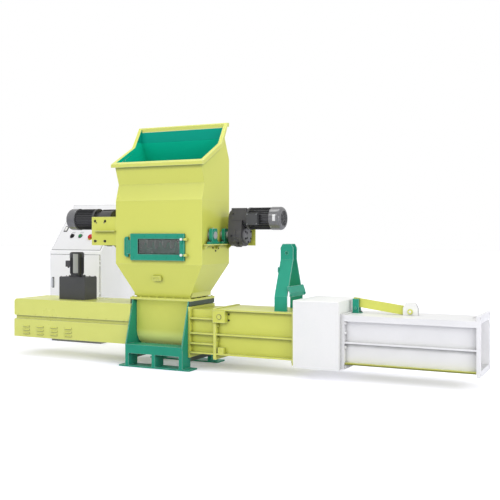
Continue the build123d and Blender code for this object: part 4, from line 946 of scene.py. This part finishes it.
# %% Lid screws, tank and pump
LID_SCREW_Z = 0.574
TRAY_BACK = 0.290
TANK_LID = 1.091
TANK_ACROSS, PUMP_ACROSS = 0.011, 0.012
PUMP_FLANGE = 1.105
BOX_SIDE, BOX_MIDDLE = -1.660, 1.265

lid_screws = [((x, y, LID_SCREW_Z), way) for y, way in ((TRAY_FRONT, FRONT), (TRAY_BACK, BACK))
              for x in along(-2.26, -0.50, 7)]
screws(pan_screw, "enclosure_lid_screws", lid_screws, PANEL_HEAD, yellow_bolt_paint)
tank_places = [((x, y, TANK_LID), UP) for x in (-1.680, -1.284) for y in (-0.165, -0.050, 0.065)]
tank_places += [((-1.372, y, TANK_LID), UP) for y in (-0.165, 0.065)]
screws(hex_screw, "tank_lid_bolts", tank_places, TANK_ACROSS, black_oxide)
pump_places = [((PUMP_X + a, PUMP_Y + b, PUMP_FLANGE), UP) for a, b in circle(4, 0.099, 45)]
screws(hex_screw, "pump_flange_bolts", pump_places, PUMP_ACROSS, black_oxide)
pump_screws = [((BOX_SIDE, PUMP_Y + a, BOX_MIDDLE + b), LEFT) for a in (-0.036, 0.036)
               for b in (-0.032, 0.032)]
screws(pan_screw, "pump_box_screws", pump_screws, SMALL_HEAD, zinc_plate)

# %% [markdown]
# ## Duct, lifting bracket and lever
# The boss plate on the chamber carries a thin ring, two bolts stand beside it, and the
# lever's pin is kept by a washer and a split pin. A small stop is welded on the edge
# of the lifting bracket, as the photo shows it.

# %% Duct, bracket and lever details
DUCT_HALF = 0.265
side_places = [((0.956, -DUCT_HALF, z), FRONT) for z in (0.628, 0.700)]
screws(hex_screw, "chamber_side_bolts", side_places, M8_ACROSS, black_oxide)
bar_places = [((1.752, y, 0.957), RIGHT) for y in (-0.215, 0.215)]
screws(hex_screw, "cross_bar_bolts", bar_places, M12_ACROSS, green_bolt_paint)
boss_ring = bmesh.new()
add_torus(boss_ring, facing((0.859, -0.3395, 0.6725), FRONT), 0.032, 0.0016)
keep("boss_gasket", boss_ring, grey_rubber)
stop = bmesh.new()
add_plate(stop, (1.540, -0.128, 1.212), (1.553, -0.108, 1.280), 0.002)
keep("bracket_stop", stop, green_enamel)

lever_pins = bmesh.new()
PIN_X, PIN_Z, PIN_OUT = 3.125, 0.806, 0.050
PIN_RADIUS, WASHER_RADIUS = 0.0148, 0.024
SPLIT_RADIUS, SPLIT_HALF = 0.0016, 0.018
for side in (-1, 1):
    add_spun(lever_pins, band(PIN_RADIUS, WASHER_RADIUS, -0.002, 0.001),
             facing((PIN_X, side * (PIN_OUT - 0.006), PIN_Z), (0, side, 0)), 28)
    add_spun(lever_pins, band(0, SPLIT_RADIUS, -SPLIT_HALF, SPLIT_HALF),
             facing((PIN_X, side * (PIN_OUT - 0.002), PIN_Z), UP), 8)
keep("lever_pin_washers", lever_pins, zinc_plate)
saddle_places = [((2.538, y, 0.773), UP) for y in (-0.024, 0.024)]
screws(hex_screw, "saddle_bolts", saddle_places, M8_ACROSS, black_oxide)

# %% [markdown]
# ## Control cabinet
# Door and console sit in the white sheet with a dark rubber line round them, which is all
# that draws them in the photo. Button and selector stand in bezels, each control has a
# blank legend plate above it, and the stop sits on a yellow disc.

# %% Cabinet seals, bezels and legends
CABINET_X, CABINET_FRONT, CONSOLE_FOOT = -2.884, 1.045, 1.400
CONSOLE_DEPTH, CONSOLE_RISE = 0.585, 0.750
CONSOLE_LENGTH = math.hypot(CONSOLE_DEPTH, CONSOLE_RISE)
SLOPE = math.atan2(CONSOLE_RISE, CONSOLE_DEPTH)
OUT = Vector((0, -math.sin(SLOPE), math.cos(SLOPE)))
LINE_WIDTH = 0.006
# Places on the console as (across, up), from its lower left corner.
BEZELS = ((0.295, 0.295, 0.032), (0.455, 0.294, 0.030))
LEGENDS = ((0.295, 0.365), (0.455, 0.364), (0.665, 0.355))
MAIN_SWITCH = (0.115, 0.436)
STOP = (0.665, 0.271)


def on_console(across, up, proud=0.006):
    """A matrix on the sloping console, with its Z out of the panel."""
    place = Vector((CABINET_X + across, CABINET_FRONT + up * math.cos(SLOPE),
                    CONSOLE_FOOT + up * math.sin(SLOPE)))
    return Matrix.Translation(place + OUT * proud) @ Matrix.Rotation(SLOPE, 4, "X")


lines = bmesh.new()
add_frame(lines, (-2.868, 0.119), (-1.922, 1.356), LINE_WIDTH, CABINET_FRONT - 0.0015,
          CABINET_FRONT + 0.001, 0.0004)
for low, high in strips((0.024, 0.024), (0.954, CONSOLE_LENGTH - 0.024), LINE_WIDTH):
    add_plate(lines, (*low, -0.001), (*high, 0.0025), 0.0004, on_console(0, 0, 0.0))
keep("cabinet_seal_lines", lines, grey_rubber)

bezels = bmesh.new()
for across, up, radius in BEZELS:
    add_spun(bezels, [(radius, 0), (radius + 0.008, 0), (radius + 0.008, 0.003),
                      (radius + 0.002, 0.0045), (radius, 0.0045), (radius, 0)],
             on_console(across, up), 36)
add_plate(bezels, (-0.034, -0.054, 0.0), (0.034, 0.054, 0.004), 0.002, on_console(*MAIN_SWITCH))
keep("control_bezels", bezels, black_plastic)
switch = bmesh.new()
add_plate(switch, (-0.020, -0.038, 0.004), (0.020, 0.038, 0.010), 0.004, on_console(*MAIN_SWITCH))
keep("main_switch_rocker", switch, white_plastic)
legends = bmesh.new()
for across, up in LEGENDS:
    add_plate(legends, (-0.032, -0.010, -0.0005), (0.032, 0.010, 0.0015), 0.0008,
              on_console(across, up))
keep("blank_legend_plates", legends, plate_aluminium)
disc = bmesh.new()
add_spun(disc, band(0.0145, 0.052, 0, 0.0015), on_console(*STOP), 40)
keep("stop_disc", disc, yellow_plastic)
lock_back = bmesh.new()
add_plate(lock_back, (-2.825, 1.0252, 0.833), (-2.785, 1.0266, 0.997), 0.0006)
keep("lock_back_plate", lock_back, black_plastic, "control_door")

# %% [markdown]
# ## Weld seams
# Sheet and plate meet in fillet welds. A robot's bead is a row of overlapping scales, so the
# bead here is a tube whose rings swell and pinch, one scale for each 12 mm of its length, a
# little coarser than the real one so that it still reads at this distance. Ribs are
# stitched with short beads, as a shop does to keep the plate flat.

# %% Weld beads
BEAD_WIDTH, FINE_BEAD = 0.010, 0.008
SCALE_LENGTH = 0.012
STITCH_LENGTH, STITCH_PITCH = 0.06, 0.22


def add_bead(mesh, start, end, width=BEAD_WIDTH):
    """A straight bead from start to end, its rings swelling like scales."""
    start, end = Vector(start), Vector(end)
    length = (end - start).length
    scales = max(int(length / SCALE_LENGTH), 1)
    profile = [(0, 0)]
    for scale in range(scales):
        here = length * scale / scales
        profile += [(0.40 * width, here + 0.001), (0.50 * width, here + length / scales * 0.6)]
    add_spun(mesh, profile + [(0, length)], facing(start, end - start), 6)


def stitches(start, end):
    """The ends of short beads spaced evenly between two points."""
    start, end = Vector(start), Vector(end)
    count = max(int((end - start).length / STITCH_PITCH), 1)
    step = (end - start) / count
    half = step.normalized() * STITCH_LENGTH / 2
    middles = [start + step * (index + 0.5) for index in range(count)]
    return [(middle - half, middle + half) for middle in middles]


# %% Hopper throat
THROAT_X, THROAT_Y = 0.388, 0.237
COLLAR_IN, COLLAR_OUT, COLLAR_RISE = 0.390, 0.431, 0.070
throat_z = joint_top + JOINT_PLATE
collars = bmesh.new()
seams = bmesh.new()
for side in (-1, 1):
    outline = [(side * x, -THROAT_Y, throat_z + up)
               for x, up in ((COLLAR_IN, 0), (COLLAR_OUT, 0), (COLLAR_OUT, COLLAR_RISE))]
    add_prism(collars, outline, (0, 2 * THROAT_Y, 0))
    add_bead(seams, (-THROAT_X, side * THROAT_Y, throat_z), (THROAT_X, side * THROAT_Y, throat_z))
    add_bead(seams, (side * THROAT_X, -THROAT_Y, throat_z), (side * THROAT_X, THROAT_Y, throat_z))
keep("throat_stiffeners", collars, lid_coat)
keep("hopper_weld_seams", seams, yellow_coat)

# %% Ribs of the duct
RIBS_UNDER = (0.745, 0.446, 0.225)
for name, x0, x1, finish, slot in (
        ("chamber_rib_stitches", 0.95, 1.80, yellow_coat, "yellow_paint"),
        ("outlet_rib_stitches", 2.46, 3.89, white_coat, "white_paint")):
    beads = bmesh.new()
    for y in (-DUCT_HALF, DUCT_HALF):
        for z in RIBS_UNDER:
            for start, end in stitches((x0, y, z), (x1, y, z)):
                add_bead(beads, start, end, FINE_BEAD)
    keep(name, beads, finish)

# %% Stand and lifting bracket
RIB_FRONT, RIB_INNER, RIB_FOOT, RIB_TOP = 0.465, 0.265, 0.020, 0.285
RIB_PLACES, HALF_RIB = (-0.393, 0.0, 0.393), 0.025
stand_seams = bmesh.new()
for side in (-1, 1):
    runs = [(x + edge, RIB_FOOT) for x in RIB_PLACES for edge in (-HALF_RIB, HALF_RIB)]
    for x, z in runs + [(-0.403, RIB_TOP), (0.403, RIB_TOP)]:
        add_bead(stand_seams, (x, -side * RIB_FRONT, z), (x, -side * RIB_INNER, z), FINE_BEAD)
    add_bead(stand_seams, (1.551, side * 0.245, 0.763), (1.714, side * 0.245, 0.763))
keep("green_weld_seams", stand_seams, green_enamel)

# %% [markdown]
